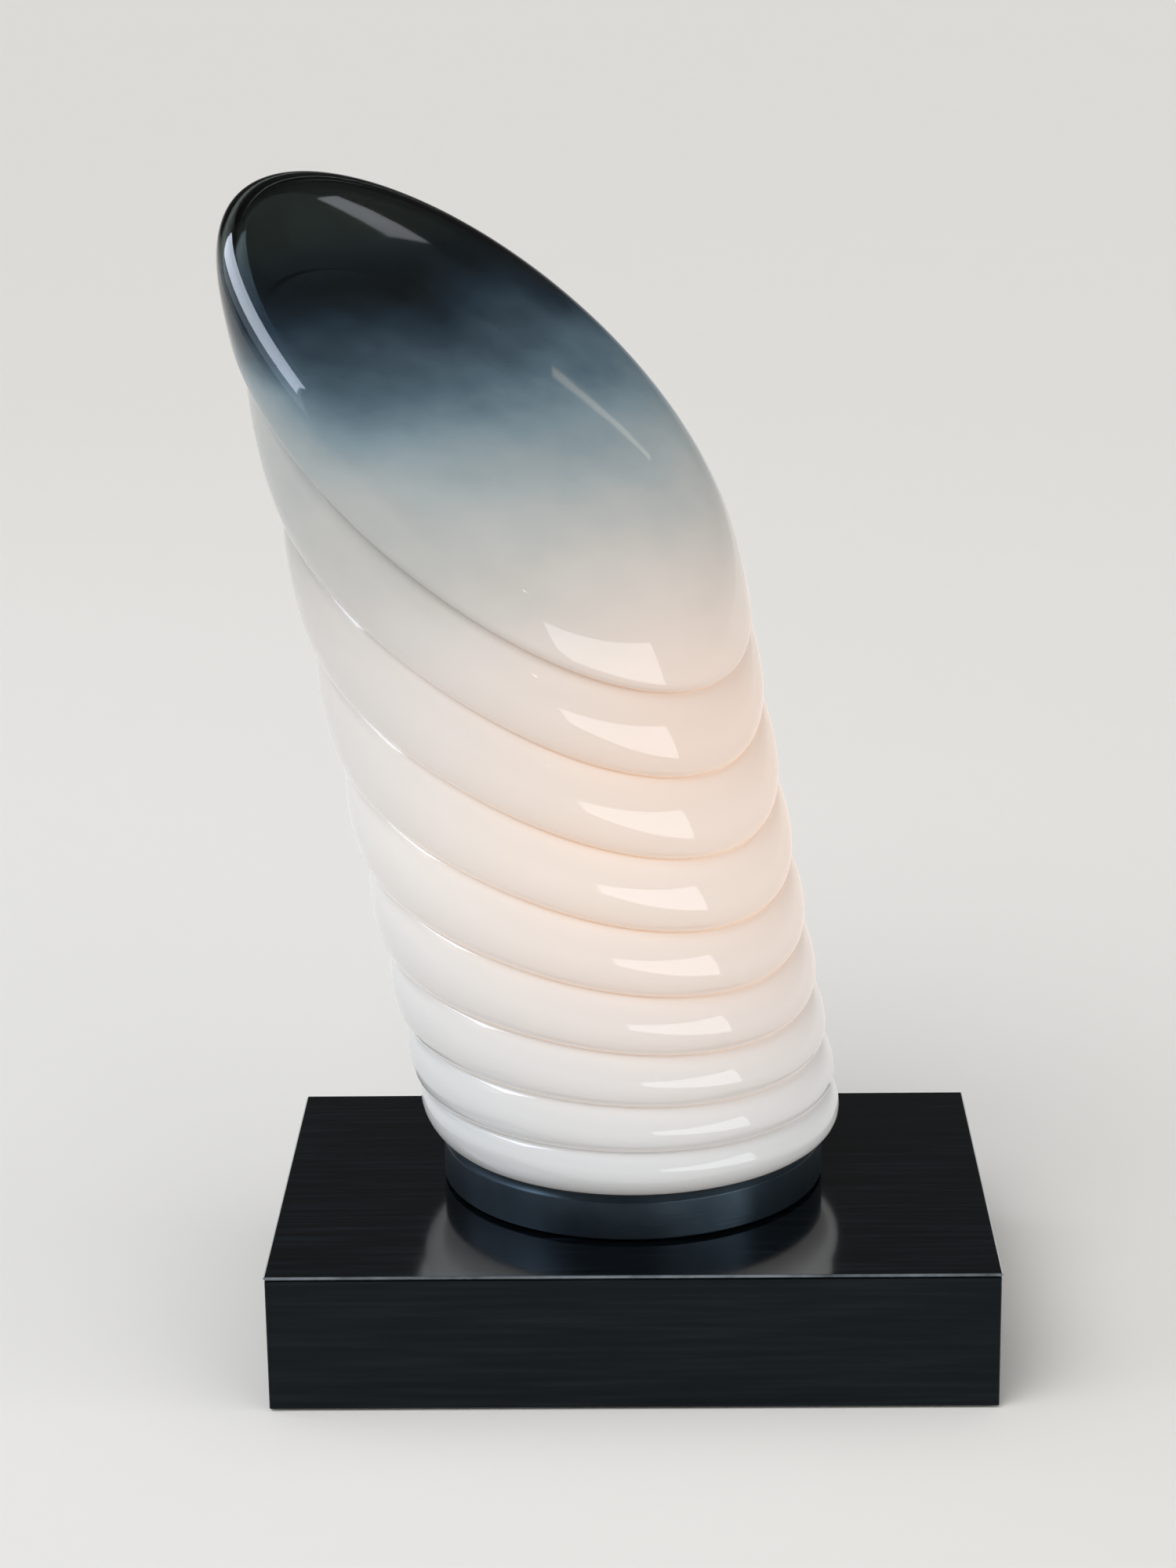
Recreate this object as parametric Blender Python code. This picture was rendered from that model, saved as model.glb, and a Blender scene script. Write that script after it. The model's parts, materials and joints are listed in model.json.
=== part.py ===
"""Table lamp: a leaning ribbed glass shade in a turned collar, on a low black box base.

Metres, +Z up. The origin is the centre of the base's footprint on the table, and the front is -Y.
The shade lifts out of the collar along +Z, and the bulb comes out of its holder along +Z.
"""

import math

import bmesh
import bpy
from mathutils import Matrix, Vector

# Gaps between pieces
GAP = 0.0003

# Base: a box of separate sheets, with a felt sheet that stands a little proud of its walls
BASE_WIDTH = 0.300
BASE_DEPTH = 0.200
BASE_HEIGHT = 0.060
TOP_SHEET = 0.0015
TOP_OVERHANG = 0.0005
WALL = 0.003
COVER_SHEET = 0.0025
FELT_SHEET = 0.002
FELT_PROUD = 0.001
SHEET_BEVEL = 0.0004
TOP_BEVEL = 0.0006
CORNER_BLOCK = 0.014

# Countersunk screws: radius of the shank, radius and height of the head, whole length
SCREW_R = 0.0015
SCREW_HEAD_R = 0.003
SCREW_HEAD_H = 0.0015
SCREW_SLOT = 0.0007
COVER_SCREW_LENGTH = 0.012

# Gasket: sits on the collar's ledge and rises round the foot of the glass
FOOT_R = 0.0752
GASKET_THICK = 0.002
GASKET_LIP = 0.0014
GASKET_UNDER_GLASS = 0.0072
GASKET_DROP = 0.0006

# Collar: a thin disc, and a ring that stands over it with a shadow gap below
COLLAR_BACK = 0.014
DISC_THICK = 0.004
SHADOW_GAP = 0.0015
RING_WALL = 0.0045
RING_SKIRT = 0.0074
RING_CHAMFER = 0.0021
LEDGE_WIDTH = 0.0172
LEDGE_THICK = 0.0054
SOCKET_DEPTH = 0.010
RING_SCREW_INSET = 0.0107
RING_SCREW_COVER = 0.0005
RING_SCREWS = 3
COLLAR_SIDES = 48

# Glass shade
GLASS_WALL = 0.004
FOOT_WALL = 0.0052
AXIS_RIGHT = 0.0017
AXIS_BACK = 0.0146
LEAN_SLOPE = 0.2146
LEAN_TOWARD = math.radians(157.7)
TILT_TOWARD = math.radians(139.4)
TILT_TURN_AT_FOOT = math.radians(-11.7)
WARP_TOWARD = math.radians(47.2)
WARP_AT_FOOT = 0.211
BODY_HEIGHT = 0.2823
DOME_TILT_HEIGHT = 0.0739
FOOT_OVERHANG = 0.0094
BODY_TAPER = 0.0059
RIBS = 8
FOOT_RIB_FRONT = 0.0207
FOOT_RIB_BACK = 0.0258
FOOT_RIB_WIDEST = 0.605
FOOT_RIB_BULGE = 0.0047
RIB_GROWTH_FRONT = 0.00275
RIB_GROWTH_BACK = 0.00646
RIB_BULGE = 0.0056
RIB_FULLNESS = 0.66
RIB_SKEW = 0.77
INNER_RIB_SHARE = 0.6
DOME_RISE = 0.062
DOME_LIP = 0.0060
DOME_LIP_RISE = 0.0083
DOME_SQUARENESS = 3.63
GLASS_SIDES = 48
GROOVE_DEGREES = 21
RIB_STEPS = 5
FOOT_RIB_STEPS = 6
INNER_RIB_STEPS = 2
INNER_FOOT_RIB_STEPS = 4
DOME_STEPS = 9
INNER_DOME_STEPS = 4

# Threaded stem, its nuts and washers
STEM_R = 0.005
STEM_BORE_R = 0.0035
STEM_BELOW_TOP = 0.013
STEM_INTO_HOLDER = 0.006
NUT_ACROSS_FLATS = 0.014
NUT_HEIGHT = 0.004
WASHER_R = 0.010
WASHER_THICK = 0.0012

# Lampholder for a screw cap of 27 mm
HOLDER_STAND = 0.0217
HOLDER_NECK_WALL = 0.0027
HOLDER_WALL = 0.0025
HOLDER_CAP_HEIGHT = 0.018
HOLDER_BODY_HEIGHT = 0.038
INSULATOR_ABOVE_SEAM = 0.004
INSULATOR_THICK = 0.006
SHELL_R = 0.0142
SHELL_AIR = 0.0033
SHELL_WALL = 0.0005
SHELL_HEIGHT = 0.020
CONTACT_R = 0.0045
CONTACT_THICK = 0.002

# Bulb
BULB_CAP_PLAY = 0.0006
BULB_CAP_WALL = 0.0005
BULB_CAP_HEIGHT = 0.020
BULB_BUTTON_R = 0.0045
BULB_BUTTON_HEIGHT = 0.0015
BULB_INSULATOR_HEIGHT = 0.0035
BULB_HOUSING_HEIGHT = 0.034
BULB_R = 0.030
BULB_WALL = 0.0015
BULB_NECK_PLAY = 0.0008
BULB_BOARD_THICK = 0.0012
BULB_BOARD_INSET = 0.0045
BULB_DOME_RISE = 0.038

# Wiring inside the base
TERMINAL_POLES = 3
TERMINAL_PITCH = 0.012
TERMINAL_DEPTH = 0.017
TERMINAL_HEIGHT = 0.014
TERMINAL_FROM_WALL = 0.0215
TERMINAL_SCREW_R = 0.002
TERMINAL_SCREW_DEPTH = 0.005
LEAD_R = 0.0011
LEAD_SPREAD = 0.0015
LEAD_STUB = 0.008
EARTH_RIGHT = 0.045
EARTH_HEAD_R = 0.004
EARTH_HEAD_H = 0.004
BUSHING_HEIGHT = 0.030
BUSHING_R = 0.007
BUSHING_BORE_R = 0.0035
BUSHING_FLANGE_R = 0.010
BUSHING_FLANGE = 0.002
BUSHING_INSIDE = 0.008

# Heights and edges worked out from the sizes above
TOP_UNDER = BASE_HEIGHT - TOP_SHEET
INNER_HALF_WIDTH = BASE_WIDTH / 2 - TOP_OVERHANG - WALL
INNER_HALF_DEPTH = BASE_DEPTH / 2 - TOP_OVERHANG - WALL
COVER_BOTTOM = FELT_SHEET + GAP
COVER_TOP = COVER_BOTTOM + COVER_SHEET
DISC_BOTTOM = BASE_HEIGHT + GAP
DISC_TOP = DISC_BOTTOM + DISC_THICK
SOCKET_R = FOOT_R + GAP + GASKET_LIP + GAP
RING_R = SOCKET_R + RING_WALL
DISC_R = RING_R - RING_SKIRT - GAP
LEDGE_R = SOCKET_R - LEDGE_WIDTH
LEDGE_TOP = DISC_TOP + GAP + LEDGE_THICK
RING_SCREW_CIRCLE_R = SOCKET_R - RING_SCREW_INSET
RING_SCREW_LENGTH = LEDGE_TOP - RING_SCREW_COVER - DISC_BOTTOM
RING_TOP = LEDGE_TOP + SOCKET_DEPTH
FOOT_LINE = RING_TOP
BODY_R_LOW = FOOT_R + FOOT_OVERHANG
GASKET_BOTTOM = LEDGE_TOP + GAP
FOOT_BOTTOM = GASKET_BOTTOM + GASKET_THICK + GAP
HOLDER_BOTTOM = DISC_TOP + HOLDER_STAND
HOLDER_R = SHELL_R + SHELL_AIR + HOLDER_WALL
HOLDER_SEAM = HOLDER_BOTTOM + HOLDER_CAP_HEIGHT
INSULATOR_BOTTOM = HOLDER_SEAM + INSULATOR_ABOVE_SEAM
INSULATOR_TOP = INSULATOR_BOTTOM + INSULATOR_THICK
BULB_BOTTOM = INSULATOR_TOP + GAP + CONTACT_THICK + GAP
BULB_CAP_R = SHELL_R - SHELL_WALL - BULB_CAP_PLAY
BULB_NECK_R = BULB_CAP_R - BULB_CAP_WALL - BULB_NECK_PLAY
TERMINAL_FRONT = INNER_HALF_DEPTH - TERMINAL_FROM_WALL - TERMINAL_DEPTH


def remove_everything():
    for thing in list(bpy.data.objects):
        bpy.data.objects.remove(thing, do_unlink=True)


def make_material(name, color, roughness, metallic=0.0, transmission=0.0):
    material = bpy.data.materials.new(name)
    material.use_nodes = True
    shader = material.node_tree.nodes["Principled BSDF"]
    shader.inputs["Base Color"].default_value = (*color, 1.0)
    shader.inputs["Roughness"].default_value = roughness
    shader.inputs["Metallic"].default_value = metallic
    shader.inputs["Transmission Weight"].default_value = transmission
    material.diffuse_color = (*color, 1.0)
    return material


def add_object(name, mesh, material, location=(0, 0, 0)):
    thing = bpy.data.objects.new(name, mesh)
    thing.location = location
    if material:
        own = material.copy()
        own.name = name
        mesh.materials.clear()
        mesh.materials.append(own)
    bpy.context.collection.objects.link(thing)
    return thing


def mesh_from(name, shape):
    bmesh.ops.recalc_face_normals(shape, faces=shape.faces)
    mesh = bpy.data.meshes.new(name)
    shape.to_mesh(mesh)
    shape.free()
    return mesh


def skin(rings):
    """Close a loop of rings of points into one shell. A ring of one point is a pole."""
    shape = bmesh.new()
    rows = [[shape.verts.new(point) for point in ring] for ring in rings]
    for lower, upper in zip(rows, rows[1:] + rows[:1]):
        sides = max(len(lower), len(upper))
        if sides == 1:
            continue
        for side in range(sides):
            after = (side + 1) % sides
            corners = [lower[side % len(lower)], lower[after % len(lower)]]
            corners += [upper[after % len(upper)], upper[side % len(upper)]]
            shape.faces.new(list(dict.fromkeys(corners)))
    return shape


def shade_round(mesh, sharp_degrees=35):
    mesh.shade_smooth()
    mesh.set_sharp_from_angle(angle=math.radians(sharp_degrees))


def turned(name, profile, material, sides=32, at=(0, COLLAR_BACK)):
    """Turn a closed profile of (radius, height) about the vertical line through at."""
    def ring(radius, height):
        if radius == 0:
            return [(0, 0, height)]
        turns = [math.tau * side / sides for side in range(sides)]
        return [(radius * math.cos(turn), radius * math.sin(turn), height) for turn in turns]

    mesh = mesh_from(name, skin([ring(radius, height) for radius, height in profile]))
    shade_round(mesh)
    return add_object(name, mesh, material, (at[0], at[1], 0))


def box(name, low, high, material, bevel=0.0):
    """A box between two corners, with an optional small bevel on its edges."""
    size = Vector(high) - Vector(low)
    centre = (Vector(high) + Vector(low)) / 2
    shape = bmesh.new()
    bmesh.ops.create_cube(shape, size=1, matrix=Matrix.Diagonal((*size, 1)))
    thing = add_object(name, mesh_from(name, shape), material, centre)
    if bevel:
        rounding = thing.modifiers.new("edges", "BEVEL")
        rounding.width = bevel
        rounding.segments = 1
    return thing


def cut(target, cutter):
    """Take the cutter's shape out of the target and leave the cutter as a hidden guide."""
    cutter.hide_render = True
    cutter.display_type = "WIRE"
    opening = target.modifiers.new(cutter.name, "BOOLEAN")
    opening.operation = "DIFFERENCE"
    opening.object = cutter
    opening.solver = "EXACT"


def drill(target, at, radius, bottom, top, sides=20):
    """Cut a round hole through the target, from one height to another."""
    profile = [(0, bottom), (radius, bottom), (radius, top), (0, top)]
    cut(target, turned(f"cut_{target.name}_{len(target.modifiers)}", profile, None, sides, at))


def countersink(target, at, face, depth, heading=1, sides=20):
    """Cut a countersunk hole from one face of the target: upward, or downward with a heading of -1."""
    head, shank = SCREW_HEAD_R + GAP, SCREW_R + GAP
    steps = [(0, -GAP), (head, -GAP), (head, 0), (shank, SCREW_HEAD_H), (shank, depth), (0, depth)]
    profile = [(radius, face + heading * height) for radius, height in steps]
    cut(target, turned(f"cut_{target.name}_{len(target.modifiers)}", profile, None, sides, at))


def screw(name, at, face, length, material, heading=1, sides=14):
    """A countersunk screw that goes up from the face, or down, with a slot across its head."""
    steps = [
        (0, 0), (SCREW_HEAD_R, 0), (SCREW_R, SCREW_HEAD_H),
        (SCREW_R, length - SCREW_R / 2), (SCREW_R / 2, length), (0, length),
    ]
    profile = [(radius, face + heading * height) for radius, height in steps]
    thing = turned(name, profile, material, sides, at)
    cut_slot(thing, at, face, SCREW_HEAD_R)


def cut_slot(thing, at, face, head_r):
    low = (at[0] - head_r * 2, at[1] - SCREW_SLOT / 2, face - SCREW_SLOT)
    high = (at[0] + head_r * 2, at[1] + SCREW_SLOT / 2, face + SCREW_SLOT)
    cut(thing, box(f"cut_{thing.name}_slot", low, high, None))


def tube(name, points, radius, material, steps_per_span=4):
    """A wire of one radius along a smooth curve through the points, with closed ends."""
    curve = bpy.data.curves.new(name, "CURVE")
    curve.dimensions = "3D"
    curve.bevel_depth = radius
    curve.bevel_resolution = 1
    curve.use_fill_caps = True
    path = smooth_path([Vector(point) for point in points], steps_per_span)
    spline = curve.splines.new("POLY")
    spline.points.add(len(path) - 1)
    for knot, point in zip(spline.points, path):
        knot.co = (*point, 1)
    return add_object(name, curve, material)


def smooth_path(points, steps_per_span):
    """Points along a Catmull-Rom curve through the given points."""
    ends = [2 * points[0] - points[1], *points, 2 * points[-1] - points[-2]]
    path = []
    for before, start, stop, after in zip(ends, ends[1:], ends[2:], ends[3:]):
        for step in range(steps_per_span):
            t = step / steps_per_span
            push = (2 * before - 5 * start + 4 * stop - after) * t * t
            turn = (3 * start - before - 3 * stop + after) * t * t * t
            path.append((2 * start + (stop - before) * t + push + turn) / 2)
    return [*path, points[-1]]


def hexagon(name, bottom, material):
    """A hexagon nut on the stem, with its bore."""
    corner_r = NUT_ACROSS_FLATS / 2 / math.cos(math.pi / 6)
    bore_r = STEM_R + GAP
    top = bottom + NUT_HEIGHT
    nut = turned(name, [(0, bottom), (corner_r, bottom), (corner_r, top), (0, top)], material, 6)
    drill(nut, (0, COLLAR_BACK), bore_r, bottom - GAP, top + GAP, 24)
    return nut


def washer(name, bottom, material):
    bore_r, top = STEM_R + GAP, bottom + WASHER_THICK
    profile = [(bore_r, bottom), (WASHER_R, bottom), (WASHER_R, top), (bore_r, top)]
    return turned(name, profile, material, 24)


def corner_places(inset):
    """The four corners of the base's inside, drawn in by the inset."""
    right = INNER_HALF_WIDTH - inset
    back = INNER_HALF_DEPTH - inset
    return {"front_left": (-right, -back), "front_right": (right, -back),
            "back_left": (-right, back), "back_right": (right, back)}


def ring_screw_places():
    turns = [math.tau * (index / RING_SCREWS + 0.25) for index in range(RING_SCREWS)]
    return [(RING_SCREW_CIRCLE_R * math.cos(turn), COLLAR_BACK + RING_SCREW_CIRCLE_R * math.sin(turn))
            for turn in turns]


def build_base(black, felt, steel):
    half_w, half_d = BASE_WIDTH / 2, BASE_DEPTH / 2
    side, face = half_w - TOP_OVERHANG, half_d - TOP_OVERHANG
    wall_top = TOP_UNDER - GAP
    top = box("base_top", (-half_w, -half_d, TOP_UNDER), (half_w, half_d, BASE_HEIGHT), black, TOP_BEVEL)
    box("base_front", (-side, -face, FELT_PROUD), (side, -INNER_HALF_DEPTH, wall_top), black, SHEET_BEVEL)
    back = box("base_back", (-side, INNER_HALF_DEPTH, FELT_PROUD), (side, face, wall_top), black, SHEET_BEVEL)
    end = INNER_HALF_DEPTH - GAP
    box("base_left", (-side, -end, FELT_PROUD), (-INNER_HALF_WIDTH, end, wall_top), black, SHEET_BEVEL)
    box("base_right", (INNER_HALF_WIDTH, -end, FELT_PROUD), (side, end, wall_top), black, SHEET_BEVEL)

    in_w, in_d = INNER_HALF_WIDTH - GAP, INNER_HALF_DEPTH - GAP
    cover = box("base_bottom", (-in_w, -in_d, COVER_BOTTOM), (in_w, in_d, COVER_TOP), black)
    box("table_felt", (-in_w, -in_d, 0), (in_w, in_d, FELT_SHEET), felt)

    block_half = CORNER_BLOCK / 2
    for corner, at in corner_places(GAP + block_half).items():
        low = (at[0] - block_half, at[1] - block_half, COVER_TOP + GAP)
        high = (at[0] + block_half, at[1] + block_half, wall_top)
        block = box(f"corner_block_{corner}", low, high, steel)
        countersink(cover, at, COVER_BOTTOM, COVER_SHEET + GAP)
        drill(block, at, SCREW_R + GAP, COVER_TOP, COVER_BOTTOM + COVER_SCREW_LENGTH + GAP, 14)
        screw(f"cover_screw_{corner}", at, COVER_BOTTOM, COVER_SCREW_LENGTH, steel)
    drill(top, (0, COLLAR_BACK), STEM_R + GAP, TOP_UNDER - GAP, BASE_HEIGHT + GAP, 24)
    return cover, back


def build_collar(dark, steel, rubber):
    stem_hole = STEM_R + GAP
    disc_profile = [(stem_hole, DISC_BOTTOM), (DISC_R, DISC_BOTTOM), (DISC_R, DISC_TOP), (stem_hole, DISC_TOP)]
    disc = turned("collar_disc", disc_profile, dark, COLLAR_SIDES)
    skirt_bottom, skirt_r = BASE_HEIGHT + SHADOW_GAP, DISC_R + GAP
    ledge_bottom = DISC_TOP + GAP
    edge = SHEET_BEVEL
    ring = turned("collar_ring", [
        (skirt_r, skirt_bottom), (RING_R - edge, skirt_bottom), (RING_R, skirt_bottom + edge),
        (RING_R, RING_TOP - RING_CHAMFER), (RING_R - RING_CHAMFER, RING_TOP), (SOCKET_R + edge, RING_TOP),
        (SOCKET_R, RING_TOP - edge), (SOCKET_R, LEDGE_TOP), (LEDGE_R, LEDGE_TOP), (LEDGE_R, ledge_bottom),
        (skirt_r, ledge_bottom),
    ], dark, COLLAR_SIDES)
    for index, at in enumerate(ring_screw_places()):
        countersink(disc, at, DISC_BOTTOM, DISC_THICK + GAP)
        drill(ring, at, SCREW_R + GAP, DISC_TOP, DISC_BOTTOM + RING_SCREW_LENGTH + GAP, 14)
        screw(f"ring_screw_{index + 1}", at, DISC_BOTTOM, RING_SCREW_LENGTH, steel)

    inner, lip_inner, lip_outer = FOOT_R - GASKET_UNDER_GLASS, FOOT_R + GAP, SOCKET_R - GAP
    lip_top = RING_TOP - GASKET_DROP
    seat = GASKET_BOTTOM + GASKET_THICK
    turned("glass_gasket", [
        (inner, GASKET_BOTTOM), (lip_outer, GASKET_BOTTOM), (lip_outer, lip_top),
        (lip_inner, lip_top), (lip_inner, seat), (inner, seat),
    ], rubber, COLLAR_SIDES)


def side_line(index, foot_rib, growth, span):
    """A groove's height over the foot, on a side where each rib is taller than the last by the growth."""
    def grown(ribs):
        return growth * ribs * (ribs - 1) / 2

    shortest = (span - foot_rib - grown(RIBS - 1)) / (RIBS - 1)
    return foot_rib + shortest * (index - 1) + grown(index - 1)


def rib_line(index, turn):
    """Height of one of the grooves between ribs, on one side of the shade. Groove 0 is at the foot."""
    if index == 0:
        return FOOT_LINE
    front = FOOT_LINE + side_line(index, FOOT_RIB_FRONT, RIB_GROWTH_FRONT, BODY_HEIGHT - DOME_TILT_HEIGHT)
    back = FOOT_LINE + side_line(index, FOOT_RIB_BACK, RIB_GROWTH_BACK, BODY_HEIGHT + DOME_TILT_HEIGHT)
    below_dome = 1 - index / RIBS
    tilt = math.cos(turn - TILT_TOWARD - TILT_TURN_AT_FOOT * below_dome)
    warp = WARP_AT_FOOT * below_dome * math.cos(2 * (turn - WARP_TOWARD))
    return (front + back) / 2 + (back - front) / 2 * (tilt + warp)


def axis_point(height):
    """The middle of the leaning shade at a height."""
    lean = LEAN_SLOPE * (height - FOOT_LINE)
    return AXIS_RIGHT + lean * math.cos(LEAN_TOWARD), AXIS_BACK + lean * math.sin(LEAN_TOWARD)


def body_radius(height):
    """The shade's radius at a height, without its ribs."""
    return BODY_R_LOW + BODY_TAPER * (height - FOOT_LINE) / BODY_HEIGHT


def section_point(middle, radius, turn, height):
    return middle[0] + radius * math.cos(turn), middle[1] + radius * math.sin(turn), height


def rib_ring(index, share, inset, bulge_share):
    """One ring of points up a rib, from the groove below it (share 0) to the one above (share 1)."""
    climb = share ** RIB_SKEW
    bulge = RIB_BULGE * bulge_share * (4 * climb * (1 - climb)) ** RIB_FULLNESS
    ring = []
    for side in range(GLASS_SIDES):
        turn = math.tau * side / GLASS_SIDES
        low, high = rib_line(index, turn), rib_line(index + 1, turn)
        height = low + (high - low) * share
        radius = body_radius(height) + bulge - inset
        ring.append(section_point(axis_point(height), radius, turn, height))
    return ring


def foot_rib_ring(share, inset):
    """One ring of the lowest rib: a quarter round out from the foot, then a quarter round in to its groove."""
    curl = math.pi * min(share, 0.5)
    spread, hang = math.sin(curl), math.cos(curl)
    past = math.pi * max(share - 0.5, 0)
    climb = FOOT_RIB_WIDEST * (1 - hang) + (1 - FOOT_RIB_WIDEST) * math.sin(past)
    draw_in = FOOT_RIB_BULGE * (1 - math.cos(past))
    ring = []
    for side in range(GLASS_SIDES):
        turn = math.tau * side / GLASS_SIDES
        groove = rib_line(1, turn)
        widest = body_radius(groove) + FOOT_RIB_BULGE
        height = FOOT_LINE + (groove - FOOT_LINE) * climb + inset * hang
        radius = FOOT_R + (widest - FOOT_R) * spread - draw_in - inset * spread
        middle = axis_point(height)
        middle = (middle[0] * spread, COLLAR_BACK + (middle[1] - COLLAR_BACK) * spread)
        ring.append(section_point(middle, radius, turn, height))
    return ring


def dome_ring(rise, spread, inset):
    """One ring of the domed top: its rise above the last groove, and its radius against the groove's."""
    ring = []
    for side in range(GLASS_SIDES):
        turn = math.tau * side / GLASS_SIDES
        groove = rib_line(RIBS, turn)
        level = (rib_line(RIBS, TILT_TOWARD) + rib_line(RIBS, TILT_TOWARD + math.pi)) / 2
        height = level + rise + (groove - level) * spread
        radius = (body_radius(groove) - inset) * spread
        ring.append(section_point(axis_point(height), radius, turn, height))
    return ring


def dome_profile(inset, steps):
    """Rise and spread of the dome's rings: a round lip, then a squarish curve in to the pole."""
    lip = DOME_LIP / (BODY_R_LOW + BODY_TAPER)
    rise = DOME_RISE - inset
    under_lip = math.pi / 4
    profile = [(DOME_LIP_RISE * (1 - math.cos(under_lip)), 1 + lip * math.sin(under_lip))]
    for step in range(steps):
        turn = math.pi / 2 * step / steps
        spread = (1 + lip) * math.cos(turn) ** (2 / DOME_SQUARENESS)
        climb = (rise - DOME_LIP_RISE) * math.sin(turn) ** (2 / DOME_SQUARENESS)
        profile.append((DOME_LIP_RISE + climb, spread))
    return profile, rise


def shade_surface(inset, bulge_share, foot_steps, rib_steps, dome_steps):
    """Rings from the foot's line up to the pole, for the outer face or, with an inset, the inner one."""
    rings = [foot_rib_ring(step / foot_steps, inset) for step in range(foot_steps)]
    for index in range(1, RIBS):
        rings += [rib_ring(index, step / rib_steps, inset, bulge_share) for step in range(rib_steps)]
    rings.append(rib_ring(RIBS - 1, 1, inset, bulge_share))
    profile, rise = dome_profile(inset, dome_steps)
    rings += [dome_ring(climb, spread, inset) for climb, spread in profile]
    top = dome_ring(rise, 0, inset)[0]
    return [*rings, [top]]


def foot_ring(radius, height):
    turns = [math.tau * side / GLASS_SIDES for side in range(GLASS_SIDES)]
    return [section_point((0, COLLAR_BACK), radius, turn, height) for turn in turns]


def build_shade(glass):
    outer = shade_surface(0, 1, FOOT_RIB_STEPS, RIB_STEPS, DOME_STEPS)
    inner = shade_surface(GLASS_WALL, INNER_RIB_SHARE, INNER_FOOT_RIB_STEPS, INNER_RIB_STEPS, INNER_DOME_STEPS)
    inner[0] = foot_ring(FOOT_R - FOOT_WALL, FOOT_LINE)
    foot = [foot_ring(FOOT_R - FOOT_WALL, FOOT_BOTTOM), foot_ring(FOOT_R, FOOT_BOTTOM)]
    mesh = mesh_from("glass_shade", skin([*foot, *outer, *reversed(inner)]))
    shade_round(mesh, GROOVE_DEGREES)
    add_object("glass_shade", mesh, glass)


def build_stem(brass, steel):
    stem_bottom = TOP_UNDER - STEM_BELOW_TOP
    stem_top = HOLDER_BOTTOM + STEM_INTO_HOLDER
    profile = [(STEM_BORE_R, stem_bottom), (STEM_R, stem_bottom), (STEM_R, stem_top), (STEM_BORE_R, stem_top)]
    turned("stem_tube", profile, brass, 24)
    lower_washer = TOP_UNDER - GAP - WASHER_THICK
    washer("stem_washer_lower", lower_washer, steel)
    hexagon("stem_nut_lower", lower_washer - GAP - NUT_HEIGHT, steel)
    upper_washer = DISC_TOP + GAP
    washer("stem_washer_upper", upper_washer, steel)
    hexagon("stem_nut_upper", upper_washer + WASHER_THICK + GAP, steel)
    hexagon("holder_nut", HOLDER_BOTTOM - GAP - NUT_HEIGHT, steel)


def build_holder(plastic, ceramic, brass):
    bore_r, inner_r = STEM_R + GAP, HOLDER_R - HOLDER_WALL
    neck_r = bore_r + HOLDER_NECK_WALL
    floor = HOLDER_BOTTOM + HOLDER_WALL
    shoulder = HOLDER_BOTTOM + HOLDER_CAP_HEIGHT * 0.6
    turned("holder_cap", [
        (bore_r, HOLDER_BOTTOM), (neck_r, HOLDER_BOTTOM), (HOLDER_R * 0.8, HOLDER_BOTTOM + HOLDER_WALL),
        (HOLDER_R, shoulder), (HOLDER_R, HOLDER_SEAM), (inner_r, HOLDER_SEAM), (inner_r, shoulder),
        (inner_r * 0.8, floor + HOLDER_WALL), (bore_r, floor),
    ], plastic, 32)

    body_bottom = HOLDER_SEAM + GAP
    body_top = HOLDER_SEAM + HOLDER_BODY_HEIGHT
    seat_r = inner_r - HOLDER_WALL
    seat_top = INSULATOR_BOTTOM - GAP
    turned("holder_body", [
        (seat_r, body_bottom), (HOLDER_R, body_bottom), (HOLDER_R, body_top - HOLDER_WALL),
        (HOLDER_R - HOLDER_WALL / 2, body_top), (inner_r, body_top), (inner_r, seat_top), (seat_r, seat_top),
    ], plastic, 32)

    disc_r = inner_r - GAP
    turned("holder_insulator", [
        (0, INSULATOR_BOTTOM), (disc_r, INSULATOR_BOTTOM), (disc_r, INSULATOR_TOP), (0, INSULATOR_TOP),
    ], ceramic, 28)
    shell_bottom = INSULATOR_TOP + GAP
    shell_in, shell_top = SHELL_R - SHELL_WALL, shell_bottom + SHELL_HEIGHT
    turned("holder_shell", [
        (shell_in, shell_bottom), (SHELL_R, shell_bottom), (SHELL_R, shell_top), (shell_in, shell_top),
    ], brass, 28)
    contact_top = shell_bottom + CONTACT_THICK
    turned("holder_contact", [
        (0, shell_bottom), (CONTACT_R, shell_bottom), (CONTACT_R, contact_top), (0, contact_top),
    ], brass, 16)


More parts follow.
